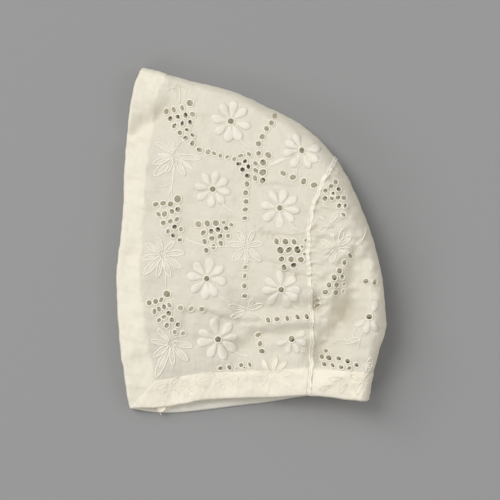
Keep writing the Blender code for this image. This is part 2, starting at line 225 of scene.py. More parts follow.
CREASES = (
    Crease(188, 338, 240, 349, 2.9, 7.2),
    Crease(260, 328, 306, 319, -1.3, 3),
    Crease(240, 349, 314, 348, 3.3, 7.2),
    Crease(240, 312, 318, 308, 4.6, 5),
    Crease(222, 325, 262, 331, 2.8, 4),
    Crease(188, 317, 222, 323, 1.2, 3),
    Crease(262, 188, 311, 193, 0.8, 3.7),
    Crease(258, 222, 300, 231, 0.5, 3.7),
    Crease(269, 262, 306.7, 277, 0.9, 4),
    Crease(322, 352, 346, 312, 8.4, 6.4),
    Crease(346, 312, 356, 262, 5, 5.6),
    Crease(364, 262, 362, 296, 2.4, 6),
    Crease(321, 311, 333, 296, -1.9, 3.6),
    Crease(331, 305, 349, 272, 0.8, 3),
    Crease(163, 115, 131, 136, 6.4, 5.4),
    Crease(132.5, 351.6, 148.6, 282, -0.55, 5.6),
    Crease(257, 227.4, 264, 233.6, 1, 1),
    Crease(264, 233.6, 273, 236.6, 1.1, 1),
    Crease(273, 236.6, 303, 237, 1, 1),
    Crease(262, 228, 300, 232.6, -0.7, 2),
    Crease(271, 262, 284, 271, 0.9, 1),
    Crease(284, 271, 296, 275.8, 1.2, 1),
    Crease(296, 275.8, 308, 277, 1.1, 1),
    Crease(284, 265, 306, 272, -0.6, 2),
    Crease(262, 187.5, 276, 185.6, 0.6, 1.1),
    Crease(276, 185.6, 311, 193, 0.6, 1.2),
    Crease(186, 313.5, 208, 312, 0.5, 1),
    Crease(208, 312, 222, 318, 0.9, 1),
    Crease(222, 318, 240, 322, 1.1, 1.1),
    Crease(240, 322, 258, 321.6, 0.9, 1.1),
    Crease(206, 308, 258, 315, -0.8, 2.4),
    Crease(258, 334, 310, 329, 3.4, 3.4),
    Crease(318, 348, 334, 335, 1, 1.2),
    Crease(312, 347, 328, 343, 0.7, 1),
    Crease(315.8, 297, 317.4, 306.6, 4.4, 2),
    Crease(313, 298, 314.2, 309, 1.2, 1.6),
    Crease(322, 347, 349, 331, -0.8, 2.4),
    Crease(335, 327, 346, 318, 0.7, 1.4),
    Crease(344, 333, 364, 329, 0.6, 1.4),
    Crease(330, 320, 339, 309, 0.6, 1.3),
    Crease(374, 235, 380, 320, 0.45, 2),
    Crease(366, 225, 372, 262, 0.4, 1.6),
    Crease(376, 330, 371, 372, 0.6, 1.8),
    Crease(163, 80, 186, 90, 0.45, 1.1),
    Crease(172, 76, 170, 104, 0.4, 1),
    Crease(183, 80, 180, 97, 0.4, 1),
    Crease(195, 84, 199, 101, 0.35, 1.2),
    Crease(205, 92, 212, 122, 0.7, 3.2),
    Crease(255, 185, 262, 214, 0.4, 2.4),
    Crease(285, 130, 310, 131, 0.5, 2.6),
    Crease(206, 163, 232, 168, -0.45, 4),
    Crease(228, 255, 236, 305, 0.5, 3.4),
    Crease(187, 206, 193, 250, 0.45, 2.6),
    Crease(160, 290, 180, 283, 0.35, 1.6),
    Crease(252, 262, 262, 300, 0.4, 2.2),
    Crease(312, 262, 322, 268, 0.6, 1.6),
    Crease(313, 280, 326, 276, 0.5, 1.6),
    Crease(300, 300, 311, 303, 0.6, 1.4),
    Crease(320, 205, 318, 250, 0.5, 1.8),
    Crease(333, 205, 331, 236, 0.4, 1.6),
    Crease(340, 262, 334, 272, 0.5, 2),
    Crease(352, 262, 365, 258, 0.3, 1.6),
)


class EyeletRow(NamedTuple):
    """Evenly spaced eyelets between two pixels; their size is a width in pixels."""

    from_px: float
    from_py: float
    to_px: float
    to_py: float
    count: int
    size: float = 5.2


EYELET_ROWS = (
    EyeletRow(190.1, 103.9, 190.1, 103.9, 1, 7),
    EyeletRow(182, 108, 166.1, 111.1, 3, 5.6),
    EyeletRow(192.7, 114.1, 170.4, 118.6, 4, 5.6),
    EyeletRow(190.2, 122.6, 174.9, 125.4, 3, 5.6),
    EyeletRow(187.3, 130, 180.9, 132.9, 2),
    EyeletRow(193.2, 134.9, 186.5, 138.5, 2),
    EyeletRow(192.5, 143.5, 192.5, 143.5, 1, 6),
    EyeletRow(200.2, 150.3, 208.2, 152.3, 2, 5.8),
    EyeletRow(214.1, 154.3, 233.9, 159.2, 4, 4.6),
    EyeletRow(241, 156, 258.4, 153.9, 3, 5.2),
    EyeletRow(238.5, 164.7, 245, 162, 2),
    EyeletRow(267.9, 155.4, 267.9, 155.4, 1, 6.4),
    EyeletRow(242.6, 170.4, 255.7, 164.4, 3, 5.4),
    EyeletRow(263.3, 163.3, 262.6, 172.8, 2, 6.8),
    EyeletRow(247.5, 176.3, 255.6, 170.9, 2, 5.4),
    EyeletRow(254.8, 179, 262.6, 181.4, 2, 6),
    EyeletRow(246.6, 185.2, 245.4, 218.8, 5, 5.4),
    EyeletRow(258.1, 143.9, 274.9, 116.4, 5, 5.8),
    EyeletRow(282.4, 174.3, 313.4, 186.2, 4, 6.2),
    EyeletRow(177.9, 199.1, 177.9, 199.1, 1, 7),
    EyeletRow(171.1, 203.8, 156.2, 203.9, 3, 5.8),
    EyeletRow(177.9, 209.8, 158.6, 215.4, 4, 5.8),
    EyeletRow(177.6, 219.5, 163.8, 223, 3, 5.4),
    EyeletRow(174.9, 227.5, 168.4, 232, 2),
    EyeletRow(181.7, 229.4, 174.5, 235.1, 2, 5),
    EyeletRow(180.2, 239.6, 180.2, 239.6, 1, 5),
    EyeletRow(198.6, 224.6, 215.8, 223.2, 3, 6.4),
    EyeletRow(224.2, 222.4, 231.8, 224.6, 2, 4.4),
    EyeletRow(203.9, 233, 219, 229.8, 3, 5.8),
    EyeletRow(226.3, 229, 226.3, 229, 1, 5.2),
    EyeletRow(204.8, 241.5, 220, 237.2, 3, 5.8),
    EyeletRow(227.5, 236, 227.5, 236, 1, 4.6),
    EyeletRow(206.5, 250.6, 221, 243.6, 3, 5.6),
    EyeletRow(276.8, 241.5, 293.7, 242.2, 3, 6.2),
    EyeletRow(300.8, 247.2, 304.8, 240.6, 2, 3.6),
    EyeletRow(280.1, 250.2, 296.9, 250, 3, 6.8),
    EyeletRow(304.2, 254.4, 304.2, 254.4, 1, 3.4),
    EyeletRow(281.4, 258.8, 300, 259.4, 3, 6.2),
    EyeletRow(284.2, 266.8, 292.6, 265.2, 2, 6),
    EyeletRow(246, 267.1, 244.7, 295.2, 4, 5.2),
    EyeletRow(180.8, 308.4, 201.8, 309.2, 3, 5.4),
    EyeletRow(167, 293.9, 167, 293.9, 1, 7),
    EyeletRow(149.4, 302.5, 162, 299.9, 3, 5.2),
    EyeletRow(154.2, 311.9, 169.8, 304.3, 4, 5.4),
    EyeletRow(159.4, 319.8, 169.6, 313, 3, 5.4),
    EyeletRow(166.8, 326, 172.2, 320.4, 2, 5.6),
    EyeletRow(175.1, 331.4, 178.2, 324.8, 2, 5),
    EyeletRow(183.6, 333.6, 183.6, 333.6, 1, 4.6),
    EyeletRow(267.8, 319.3, 306.3, 316.1, 5, 5.4),
    EyeletRow(257.9, 335.1, 261.6, 351.9, 3, 5.6),
    EyeletRow(220.3, 368.2, 229.3, 368, 2, 5.2),
    EyeletRow(241.2, 365, 249.4, 364.2, 2, 4.6),
    EyeletRow(236.4, 368.6, 244.6, 368.2, 2, 2.6),
    EyeletRow(334.4, 182.7, 325, 191.3, 3, 4.8),
    EyeletRow(337.4, 190.4, 331.6, 194.8, 2, 4.6),
    EyeletRow(323.6, 199.2, 343, 198.4, 4, 5),
    EyeletRow(337, 206.6, 343.8, 206.8, 2, 4.6),
    EyeletRow(342.1, 215.6, 342.1, 215.6, 1, 4.6),
    EyeletRow(348.8, 255.8, 327.6, 283.9, 5, 5.6),
    EyeletRow(324, 292.8, 334.8, 292, 2, 5.2),
    EyeletRow(340.9, 276.6, 335.8, 284.2, 2, 4.8),
    EyeletRow(342.4, 283.9, 341.6, 290.6, 2, 3.6),
    EyeletRow(364, 281.9, 373, 281.2, 2, 5.4),
    EyeletRow(325.5, 350.5, 325.5, 350.5, 1, 4.6),
    EyeletRow(316.2, 300.4, 317, 304.6, 2, 5.2),
    EyeletRow(320.7, 356.8, 338, 357.4, 3, 5),
    EyeletRow(346.3, 360.4, 354.7, 363.8, 2, 4.8),
    EyeletRow(323.7, 363.5, 347.6, 366.8, 4, 4.6),
    EyeletRow(368.1, 363.4, 368.1, 363.4, 1, 4.4),
)

# Eyelets under the turned hem, which show through it as faint rings
HEM_RINGS = (
    EyeletRow(210.9, 373.9, 225.6, 376.1, 2, 5),
    EyeletRow(234.7, 377.9, 243.1, 377.2, 2, 5),
    EyeletRow(230.2, 384.1, 238.9, 383.6, 2, 5),
    EyeletRow(217.4, 380.5, 222.1, 386.6, 2, 4.8),
    EyeletRow(186.1, 381.6, 190.7, 388.6, 2, 4.8),
    EyeletRow(165.1, 394.2, 185.8, 395.2, 3, 4.8),
    EyeletRow(182.3, 388.6, 173.9, 388.1, 2, 4.6),
)


class Daisy(NamedTuple):
    """A flower of padded petals round an eyelet, with the turns of the petals that show."""

    px: float
    py: float
    reach: float
    turns_deg: tuple[float, ...]
    stem_px: float
    stem_py: float


DAISIES = (
    Daisy(231, 121.8, 21, (82, 38, -18, -62, -101, -143, 167, 119), 251, 149),
    Daisy(301.3, 151.5, 19.5, (58, 116, 153, 188, 236, 292, 327, 12), 322, 162),
    Daisy(213, 189.5, 18.5, (32, 78, 124, 168, 213, 262, 311, -10), 237, 213),
    Daisy(279.5, 208.5, 20, (79, 37, -8, -48, -93, -145, 168, 120), 300, 231),
    Daisy(207.1, 278.6, 21, (78, 35, -8, -60, -98, -140, 170, 129), 232, 303),
    Daisy(218.2, 339.4, 21, (107, 51, 8, -30, -72, -116, -174, 153), 249.4, 356),
    Daisy(280.9, 289.4, 20, (95, 41, 1, -35, -70, -132, -177, 143), 300, 309.5),
    Daisy(291.4, 338.4, 16, (30, -20, -62, -108, -160), 304, 352),
    Daisy(367, 315.6, 17, (62, 10, -62, -102, -145), 352, 333),
)


class Leaf(NamedTuple):
    """A leaf from its foot to its tip, in pixels, with its width and how it is worked."""

    foot_px: float
    foot_py: float
    tip_px: float
    tip_py: float
    width: float
    kind: LeafKind = LeafKind.OUTLINED


FULL = LeafKind.FILLED
LEAVES = (
    Leaf(180, 156.5, 201, 158.6, 6.4),
    Leaf(179, 159, 193.6, 169.4, 6.2, FULL),
    Leaf(177.5, 161, 184.6, 175.4, 5.6),
    Leaf(172.8, 160.4, 166.8, 172.6, 4.6),
    Leaf(172, 159.6, 154.8, 175.6, 8.6),
    Leaf(171, 157.6, 153.6, 163.6, 6.2),
    Leaf(171.4, 154.6, 156.8, 154.6, 5, FULL),
    Leaf(172.6, 151.8, 157, 142.6, 5.2),
    Leaf(175, 149.6, 169.8, 140.4, 4.4),
    Leaf(166.4, 253.8, 184.6, 252.6, 6.2),
    Leaf(166.6, 257.4, 181.6, 267.6, 6),
    Leaf(164, 260, 170.4, 276.6, 6.2),
    Leaf(161.6, 260, 157.6, 277, 5.6),
    Leaf(159.6, 258, 144.2, 274.4, 7.4),
    Leaf(158.4, 255.4, 142.4, 259, 5.6),
    Leaf(159, 251.6, 146.6, 243.6, 5.4),
    Leaf(162, 249.4, 158.2, 237.4, 5),
    Leaf(166, 250.6, 174, 241.6, 5.2),
    Leaf(174.6, 343, 192.4, 346.4, 6.4),
    Leaf(174.6, 347.4, 187.6, 360.4, 6.4),
    Leaf(171.6, 349.4, 173.2, 364.6, 5.6),
    Leaf(168.6, 348.6, 156, 377, 8.2),
    Leaf(166.8, 346.2, 153.6, 357, 5.6),
    Leaf(166.6, 343.2, 151.8, 340.8, 5.4),
    Leaf(168.4, 340, 158.6, 329.6, 4.8),
    Leaf(242.6, 244.8, 229.6, 243.6, 6.4),
    Leaf(249.4, 244.8, 262, 243.4, 6),
    Leaf(249, 248.8, 260.6, 260.6, 6.4),
    Leaf(243, 249, 233, 260.8, 6.4),
    Leaf(244, 241.6, 238.4, 231.6, 5.4),
    Leaf(248.6, 241.4, 254, 231, 5.2),
    Leaf(246, 250.4, 246.6, 262.6, 4.8),
    Leaf(243.6, 309, 229.6, 305, 5.4),
    Leaf(250.4, 308.6, 262, 304, 5.2),
    Leaf(244, 311.8, 231, 317.6, 5),
    Leaf(249.6, 306, 252.6, 299, 4.2),
    Leaf(268, 166.6, 286, 158.6, 5.4, FULL),
    Leaf(338.4, 244.4, 349, 236.4, 6.6),
    Leaf(337.6, 241.4, 341.8, 229.4, 4.8),
    Leaf(333.2, 243, 328.4, 231.6, 4.6, FULL),
    Leaf(331.2, 246.6, 320.4, 240.6, 4.6),
    Leaf(331.6, 250, 320.6, 254.4, 4.6, FULL),
    Leaf(334, 252.4, 329.6, 262.6, 4.4),
    Leaf(338.6, 248.8, 350.4, 250.2, 4.8),
    Leaf(353, 246.6, 362.6, 238.6, 5, FULL),
    Leaf(326, 222, 316.8, 214.6, 4.2, FULL),
    Leaf(329.4, 222.6, 336, 213.6, 4.2),
    Leaf(326.4, 226.4, 318.6, 231.6, 4.2),
    Leaf(345, 341.6, 357.6, 337, 4.8),
    Leaf(366, 369, 369.4, 356.4, 6.8),
)

# Leaves under the turned hem or across its edge, worked lower
HEM_LEAVES = (
    Leaf(271.6, 371, 276.8, 356.6, 6),
    Leaf(267.8, 371.4, 262, 358.8, 5.6),
    Leaf(275, 374.2, 291.6, 372.2, 6.6),
    Leaf(275, 377.4, 293.6, 384, 6.6),
    Leaf(271.8, 379, 279.6, 393, 5.6),
    Leaf(267.6, 378.6, 265.6, 394, 6),
    Leaf(266, 376.6, 257, 387.4, 5.6),
    Leaf(265.4, 373.8, 245.6, 371.6, 6),
    Leaf(275.6, 370.6, 286.6, 361.2, 5.2),
    Leaf(360.6, 381, 355, 392.6, 5.8),
    Leaf(362.8, 378, 368.4, 371.4, 5),
    Leaf(358.6, 377.4, 348.6, 374, 5),
    Leaf(340, 376, 328, 378.4, 4.8),
    Leaf(329, 384, 318.6, 388.4, 4.8),
    Leaf(345, 383, 338, 391.6, 4.8),
    Leaf(197, 384, 206, 391, 4.8),
    Leaf(200, 380, 209, 379, 4.4),
    Leaf(166, 384.6, 156.6, 388.6, 5),
    Leaf(172, 383.6, 178, 377, 4.4),
)


class Stem(NamedTuple):
    """A line of outline stitch between two pixels, bowed sideways by a share of its length."""

    from_px: float
    from_py: float
    to_px: float
    to_py: float
    bow: float


STEMS = (
    Stem(179, 86, 179.6, 104, 0.05),
    Stem(187, 89, 185.6, 101, -0.06),
    Stem(168, 90, 176, 88, 0.12),
    Stem(189, 92, 199, 96, 0.1),
    Stem(177, 153, 186.6, 138.6, 0.18),
    Stem(173.6, 161, 168.2, 198, 0.06),
    Stem(176.6, 161.6, 172.4, 197, -0.05),
    Stem(159.4, 186.6, 169, 184.4, -0.08),
    Stem(166, 249.4, 177.4, 241.4, 0.16),
    Stem(163.6, 260.6, 165.6, 289.6, 0.05),
    Stem(174, 338.6, 182.4, 337, 0.16),
    Stem(246, 240, 245.6, 223.6, 0.04),
    Stem(246.2, 251, 246, 263.6, -0.04),
    Stem(184.4, 238.6, 231, 246.6, -0.07),
    Stem(247.4, 299.6, 247.6, 310, 0.1),
    Stem(249, 313, 264, 320.4, 0.16),
    Stem(323.5, 261, 334, 248.6, 0.05),
    Stem(337, 250.4, 346, 256, 0.12),
    Stem(327.6, 223.6, 332, 242, 0.1),
    Stem(355.6, 244.6, 364.6, 226.6, -0.12),
    Stem(367, 321.6, 356.6, 350, -0.1),
    Stem(330.6, 343.4, 352.6, 341.6, 0.18),
    Stem(301, 164, 296, 176, -0.16),
    Stem(235, 260, 258, 263, 0.1),
    Stem(170.6, 339, 170, 330, 0.06),
    Stem(199.6, 372.6, 240.6, 371, -0.05),
)

# Turns a direction in plan a quarter to its right
QUARTER_TURN = np.array([[0.0, 1.0], [-1.0, 0.0]])

# Counts of steps along a stem and round a leaf
STEM_STEPS, LEAF_STEPS = 18, 30


class Swell(NamedTuple):
    """Random swells of the cloth: their depth, their wavelength and their seed."""

    depth: float
    wave: float
    seed: int


WRINKLES = (Swell(0.00042, 0.018, 1), Swell(0.00026, 0.0066, 2), Swell(0.00008, 0.0031, 3))


class Pucker(NamedTuple):
    """Small puckers beside a seam: their depth and how far they reach from it."""

    depth: float
    reach: float


BACK_PUCKER = Pucker(0.00046, 0.0060)
FRONT_PUCKER = Pucker(0.00020, 0.0026)
HEM_PUCKER = Pucker(0.00011, 0.0026)


def column(table: tuple[NamedTuple, ...], name: str) -> Array:
    """The values of one named column of a table."""
    return np.array([getattr(row, name) for row in table], dtype=float)


def smooth(at: Array, places: Array, values: Array) -> Array:
    """Reads a smooth curve through values at places.

    The curve is a cubic between each two places, with the slope of its neighbours at each end.

    Args:
        at: Where the curve is read, N places.
        places: The places of the values, in rising order.
        values: One row for each place: plain numbers, or N of them for a curve of each point.

    Returns:
        The curve's value at each of the N places.
    """
    places = np.asarray(places, dtype=float)
    values = np.asarray(values, dtype=float)
    slopes = np.gradient(values, places, axis=0)
    low = np.clip(np.searchsorted(places, at, side="right") - 1, 0, len(places) - 2)
    here = (low, np.arange(len(at))) if values.ndim == 2 else (low,)
    there = (low + 1, *here[1:])
    step = places[low + 1] - places[low]
    t = (at - places[low]) / step
    start = values[here] * (1 + 2 * t) * (1 - t) ** 2 + values[there] * t**2 * (3 - 2 * t)
    lean = slopes[here] * t * (1 - t) ** 2 - slopes[there] * t**2 * (1 - t)
    return start + lean * step


def unit(vectors: Array) -> Array:
    """The vectors at length one."""
    return vectors / np.maximum(np.linalg.norm(vectors, axis=-1, keepdims=True), 1e-12)


def ripples(plan: Array, wavelength: float, seed: int, count: int = 14) -> Array:
    """Soft random swells: a sum of plane waves in random directions, about one wavelength long.

    Args:
        plan: N points in plan, in metres.
        wavelength: Mean distance between crests, in metres.
        seed: Fixes the waves.
        count: How many waves are summed.

    Returns:
        A value for each point, mostly between -1 and 1.
    """
    rng = np.random.default_rng(seed)
    turn = rng.uniform(0, 2 * np.pi, count)
    size = 2 * np.pi / (wavelength * rng.uniform(0.7, 1.5, count))
    phase = rng.uniform(0, 2 * np.pi, count)
    waves = np.cos(plan @ np.stack([np.cos(turn) * size, np.sin(turn) * size]) + phase)
    return waves.sum(axis=1) / math.sqrt(count)


def path_to_fold(even: int, shortening: int, last_share: float) -> Array:
    """Shares from an edge (0) to a fold (1): even steps, then steps that shorten at the fold."""
    left = np.arange(shortening - 1, -1, -1) / shortening
    return np.concatenate([np.linspace(0, 1 - last_share, even + 1), 1 - last_share * left**2])


class Path(NamedTuple):
    """Shares along a way from the near edge over the fold to the far edge."""

    share: Array
    far: Flags


def over_fold(near: Array, far: Array) -> Path:
    """A path that joins the near shares and the far shares at the fold."""
    share = np.concatenate([near, far[::-1][1:]])
    return Path(share, np.arange(len(share)) >= len(near))


@dataclass(frozen=True)
class CapForm:
    """The outer surface of the cap's cloth.

    A point in plan has a height on the near layer and one on the far layer. At a distance d from
    the fold line both leave the fold's height along a quarter ellipse, and past its reach the near
    layer follows the table of rises and the far layer lies flat on the table.
    """

    low: Array
    high: Array
    rise_unit: float = 0.030
    fold_roundness: float = 0.55
    fold_most: float = 0.58
    seam_width: float = 0.0020
    neck_hem: float = 0.0138
    seam_bow: float = 0.074
    seam_bow_at: float = 0.71
    gathers: int = 12
    gather_depth: float = 0.0008
    gather_reach: float = 0.0110
    gathers_from: float = 0.34
    gathers_to: float = 0.99
    cloth_depth: float = 0.00020
    edge_bumps: float = 0.00011
    edge_bump_wave: float = 0.0062
    edge_bump_reach: float = 0.0035
    crease_wander: float = 0.0005
    pucker_wander: float = 0.0012
    seam_pucker_pitch: float = 0.0029
    hem_pucker_pitch: float = 0.0034
    hem_pucker_up: float = 0.0085
    broad_pucker: Swell = Swell(0.00056, 0.0056, 8)
    under_wrinkles: float = 0.35
    probe: float = 0.0003

    def to_plan(self, x: Values, y: Values) -> Array:
        """Metres in plan from shares of the cap's box."""
        size = self.high - self.low
        return np.stack([self.low[0] + x * size[0], self.low[1] + y * size[1]], axis=-1)

    def from_photo(self, px: Pixels, py: Pixels) -> Array:
        """Metres in plan from pixels of the photograph."""
        x = (np.asarray(px, dtype=float) - PHOTO_LEFT) / (PHOTO_RIGHT - PHOTO_LEFT)
        y = (PHOTO_FOOT - np.asarray(py, dtype=float)) / (PHOTO_FOOT - PHOTO_TOP)
        return self.to_plan(x, y)

    @property
    def pixel(self) -> float:
        """Metres for each pixel of the photograph."""
        return float(self.high[1] - self.low[1]) / (PHOTO_FOOT - PHOTO_TOP)

    def front_plan(self, across: Values, up: Values, far: Flags | bool) -> Array:
        """A point of the front in plan, from the face edge (0) to the seam (1).

        Each upright line runs straight from its station's neck point to its crown point, and bows
        to the left: by the table at the face, by half a sine wave at the seam, and between the two
        by their mean, weighted by the share across.

        Args:
            across: Share from the face edge to the seam.
            up: Share from the neck to the crown.
            far: Which points are on the far layer.

        Returns:
            Points in plan, in metres.
        """
        across, up, far = (v.ravel() for v in np.broadcast_arrays(across, up, far))
        where = column(STATIONS, "across")
        names = ("neck_x", "neck_y", "far_neck_y", "crown_x", "crown_y")
        neck_x, near_y, far_y, crown_x, crown_y = (
            smooth(across, where, column(STATIONS, name)) for name in names
        )
        neck_y = np.where(far, far_y, near_y)
        face_bow = smooth(up, column(FACE_BOWS, "up"), column(FACE_BOWS, "left"))
        power = math.log(0.5) / math.log(self.seam_bow_at)
        seam_bow = self.seam_bow * np.sin(np.pi * np.clip(up, 0, 1) ** power)
        x = neck_x + (crown_x - neck_x) * up - face_bow - (seam_bow - face_bow) * across
        y = neck_y + (crown_y - neck_y) * up
        return self.to_plan(x, y)

    def width_at(self, up: Array, far: Flags) -> Array:
        """Distance in plan from the face edge to the seam at each share up."""
        return np.linalg.norm(self.front_plan(1.0, up, far) - self.front_plan(0.0, up, far), axis=-1)

    def height_at(self, across: Array, far: Flags) -> Array:
        """Distance in plan from the neck edge to the crown at each share across the front."""
        return np.linalg.norm(self.front_plan(across, 1.0, far) - self.front_plan(across, 0.0, far), axis=-1)

    def back_height(self, across: Array) -> Array:
        """Height of the back in plan, from the seam (0) to the fold (1)."""
        seam = np.linalg.norm(self.front_plan(1.0, 1.0, False) - self.front_plan(1.0, 0.0, False))
        fold = np.linalg.norm(self.back_fold(1.0) - self.back_fold(0.0))
        return seam + (fold - seam) * across

    def face_hem(self, up: Array) -> Array:
        """Width of the front hem at a share up the face edge."""
        return smooth(up, column(FACE_HEM_WIDTHS, "up"), column(FACE_HEM_WIDTHS, "width"))

    def back_fold(self, up: Values) -> Array:
        """A point of the fold at the back of the head.

        Args:
            up: Share from the neck to the crown.

        Returns:
            Points in plan, in metres.
        """
        up = np.atleast_1d(up)
        where = column(BACK_FOLD, "up")
        x = smooth(up, where, column(BACK_FOLD, "x"))
        y = smooth(up, where, column(BACK_FOLD, "y"))
        return self.to_plan(x, y)

    def beside_seam(self, up: Array, far: Flags, distance: Values) -> Array:
        """A point at a distance from the seam's middle, towards the face where negative.

        Args:
            up: Share up the seam.
            far: Which points are on the far layer.
            distance: Metres from the seam's middle.

        Returns:
            Points in plan, in metres.
        """
        up, far, distance = (v.ravel() for v in np.broadcast_arrays(up, far, distance))
        middle = self.front_plan(1.0, up, far)
        front = self.front_plan(1.0 + np.minimum(distance, 0) / self.width_at(up, far), up, far)
        back = middle + unit(self.back_fold(up) - middle) * np.maximum(distance, 0)[:, None]
        return np.where((distance < 0)[:, None], front, back)

    def back_plan(self, across: Array, up: Array, far: Flags, start: float) -> Array:
        """A point of the back in plan, from a distance past the seam (0) to the fold (1).

        Args:
            across: Share from the border to the fold.
            up: Share from the neck to the crown.
            far: Which points are on the far layer.
            start: The border's distance past the seam.

        Returns:
            Points in plan, in metres.
        """
        across, up, far = (v.ravel() for v in np.broadcast_arrays(across, up, far))
        border = self.beside_seam(up, far, start)
        return border + (self.back_fold(up) - border) * across[:, None]

    def fold_line(self) -> Array:
        """The fold of the crown and the back in plan, from the face to the neck."""
        crown = self.front_plan(np.linspace(0, 1, 60), 1.0, False)
        return np.concatenate([crown, self.back_fold(np.linspace(1, 0, 60))])

    def within(self, plan: Array, margin: float) -> Flags:
        """Which points lie inside the cap's outline, at least a margin from its fold.

        A point is inside where a ray to the right crosses the outline an odd number of times.

        Args:
            plan: N points in plan, in metres.
            margin: The least distance from the fold, in metres.

        Returns:
            A flag for each point.
        """
        edge = self.front_plan(0.0, np.linspace(0, 1, 40), False)
        line = np.concatenate([self.fold_line(), edge])
        start, end = line, np.roll(line, -1, axis=0)
        y = plan[:, None, 1]
        spans = (start[None, :, 1] > y) != (end[None, :, 1] > y)
        rise = np.where(end[:, 1] == start[:, 1], 1e-9, end[:, 1] - start[:, 1])
        cross = start[:, 0] + (y - start[:, 1]) / rise * (end[:, 0] - start[:, 0])
        odd = (spans & (cross > plan[:, None, 0])).sum(axis=1) % 2 == 1
        return odd & (self.fold_distance(plan)[0] > margin)

    def fold_distance(self, plan: Array) -> tuple[Array, Array]:
        """Distance in plan to the fold line, and the share along it of the nearest point.

        Args:
            plan: N points in plan, in metres.

        Returns:
            The distance and the share, one each for each point.
        """
        line = self.fold_line()
        start, run = line[:-1], np.diff(line, axis=0)
        length = np.linalg.norm(run, axis=-1)
        before = np.concatenate([[0.0], np.cumsum(length)])
        gaps, shares = [], []
        for part in np.array_split(plan, max(1, len(plan) // 8000)):
            offset = part[:, None, :] - start[None]
            t = np.clip((offset * run).sum(-1) / length**2, 0, 1)
            gap = np.linalg.norm(offset - t[..., None] * run, axis=-1)
            nearest = gap.argmin(axis=1)
            row = np.arange(len(part))
            gaps.append(gap[row, nearest])
            shares.append((before[nearest] + t[row, nearest] * length[nearest]) / before[-1])
        return np.concatenate(gaps), np.concatenate(shares)

    def rise(self, plan: Array) -> Array:
        """Height of the near layer away from its fold, read smoothly both ways from the table.

        Args:
            plan: N points in plan, in metres.

        Returns:
            A height for each point, in metres.
        """
        share = np.clip((plan - self.low[:2]) / (self.high - self.low)[:2], 0, 1)
        names = ("face", "quarter", "middle", "seam", "back")
        rows = np.stack([smooth(share[:, 1], column(RISES, "y"), column(RISES, n)) for n in names])
        return self.rise_unit * smooth(share[:, 0], np.array(RISE_X), rows)

    def creases(self, plan: Array) -> Array:
        """Depth of the creases: each is a bell across a straight run that wanders by a sine wave.

        Args:
            plan: N points in plan, in metres.

        Returns:
            A depth for each point, in metres.
        """
        depth = np.zeros(len(plan))
        for crease in CREASES:
            start = self.from_photo(crease.from_px, crease.from_py)
            run = self.from_photo(crease.to_px, crease.to_py) - start
            t = np.clip((plan - start) @ run / (run @ run), 0, 1)
            gap = np.linalg.norm(plan - start - t[:, None] * run, axis=-1)
            wave = self.crease_wander * np.sin(t * 9.0 + crease.from_px)
            bell = np.exp(-(((gap + wave) / (crease.width_mm * 1e-3)) ** 2))
            depth += crease.depth_mm * 1e-3 * bell
        return depth

    def seam_place(self, plan: Array) -> tuple[Array, Array]:
        """Distance past the seam along X, and the share up the seam.

        Args:
            plan: N points in plan, in metres.

        Returns:
            The distance and the share, one each for each point.
        """
        up = np.linspace(0, 1, 80)
        seam = self.front_plan(1.0, up, False)
        out = plan[:, 0] - np.interp(plan[:, 1], seam[:, 1], seam[:, 0])
        return out, np.interp(plan[:, 1], seam[:, 1], up)

    def puckers(self, plan: Array) -> Array:
        """Gathers of the back panel, and the small puckers that the stitching draws along seams.

        The gathers are ribs of a sine wave up the seam, which fade as a bell away from it. Both kinds
        of fine pucker are sine waves with a random wander, under a bell across the seam or the hem.
        They are weaker at the neck, and so are the broad ones, which start a little past the seam.

        Args:
            plan: N points in plan, in metres.

        Returns:
            A height for each point, in metres.
        """
        out, up = self.seam_place(plan)
        share = (up - self.gathers_from) / (self.gathers_to - self.gathers_from)
        ribs = np.sin(2 * np.pi * self.gathers * share)
        window = np.sin(np.pi * np.clip(share, 0, 1)) ** 0.5
        fade = np.exp(-((out / self.gather_reach) ** 2)) * np.clip(out / self.seam_width, 0, 1)
        swell = self.gather_depth * ribs * window * fade
        wander = self.pucker_wander * ripples(plan, 0.012, 5)
        turn = 2 * np.pi * (plan[:, 1] + wander) / self.seam_pucker_pitch
        fine = np.sin(turn + 3 * ripples(plan, 0.02, 6))
        beside = np.maximum(np.abs(out) - self.seam_width / 2, 0)
        near_seam = np.exp(-((beside / np.where(out > 0, BACK_PUCKER.reach, FRONT_PUCKER.reach)) ** 2))
        lower = 0.30 + 0.70 * np.clip((up - 0.30) / 0.12, 0, 1)
        strength = np.where(out > 0, BACK_PUCKER.depth, FRONT_PUCKER.depth) * lower
        neck = self.neck_hem + self.low[1] + self.hem_pucker_up
        hem = np.exp(-(((plan[:, 1] - neck) / HEM_PUCKER.reach) ** 2))
        turn = 2 * np.pi * (plan[:, 0] + wander) / self.hem_pucker_pitch
        across = np.sin(turn + 2 * ripples(plan, 0.02, 7))
        upper = 0.35 + 0.65 * np.clip((up - 0.25) / 0.15, 0, 1) * np.clip((1 - up) / 0.15, 0, 1)
        depth, wave, seed = self.broad_pucker
        broad = np.clip((out - 0.001) / 0.002, 0, 1) * depth * upper * ripples(plan, wave, seed)
        return swell + strength * fine * near_seam + HEM_PUCKER.depth * across * hem + broad

    def wrinkles(self, plan: Array) -> Array:
        """Soft unevenness of washed, embroidered cloth."""
        return sum(swell.depth * ripples(plan, swell.wave, swell.seed) for swell in WRINKLES)

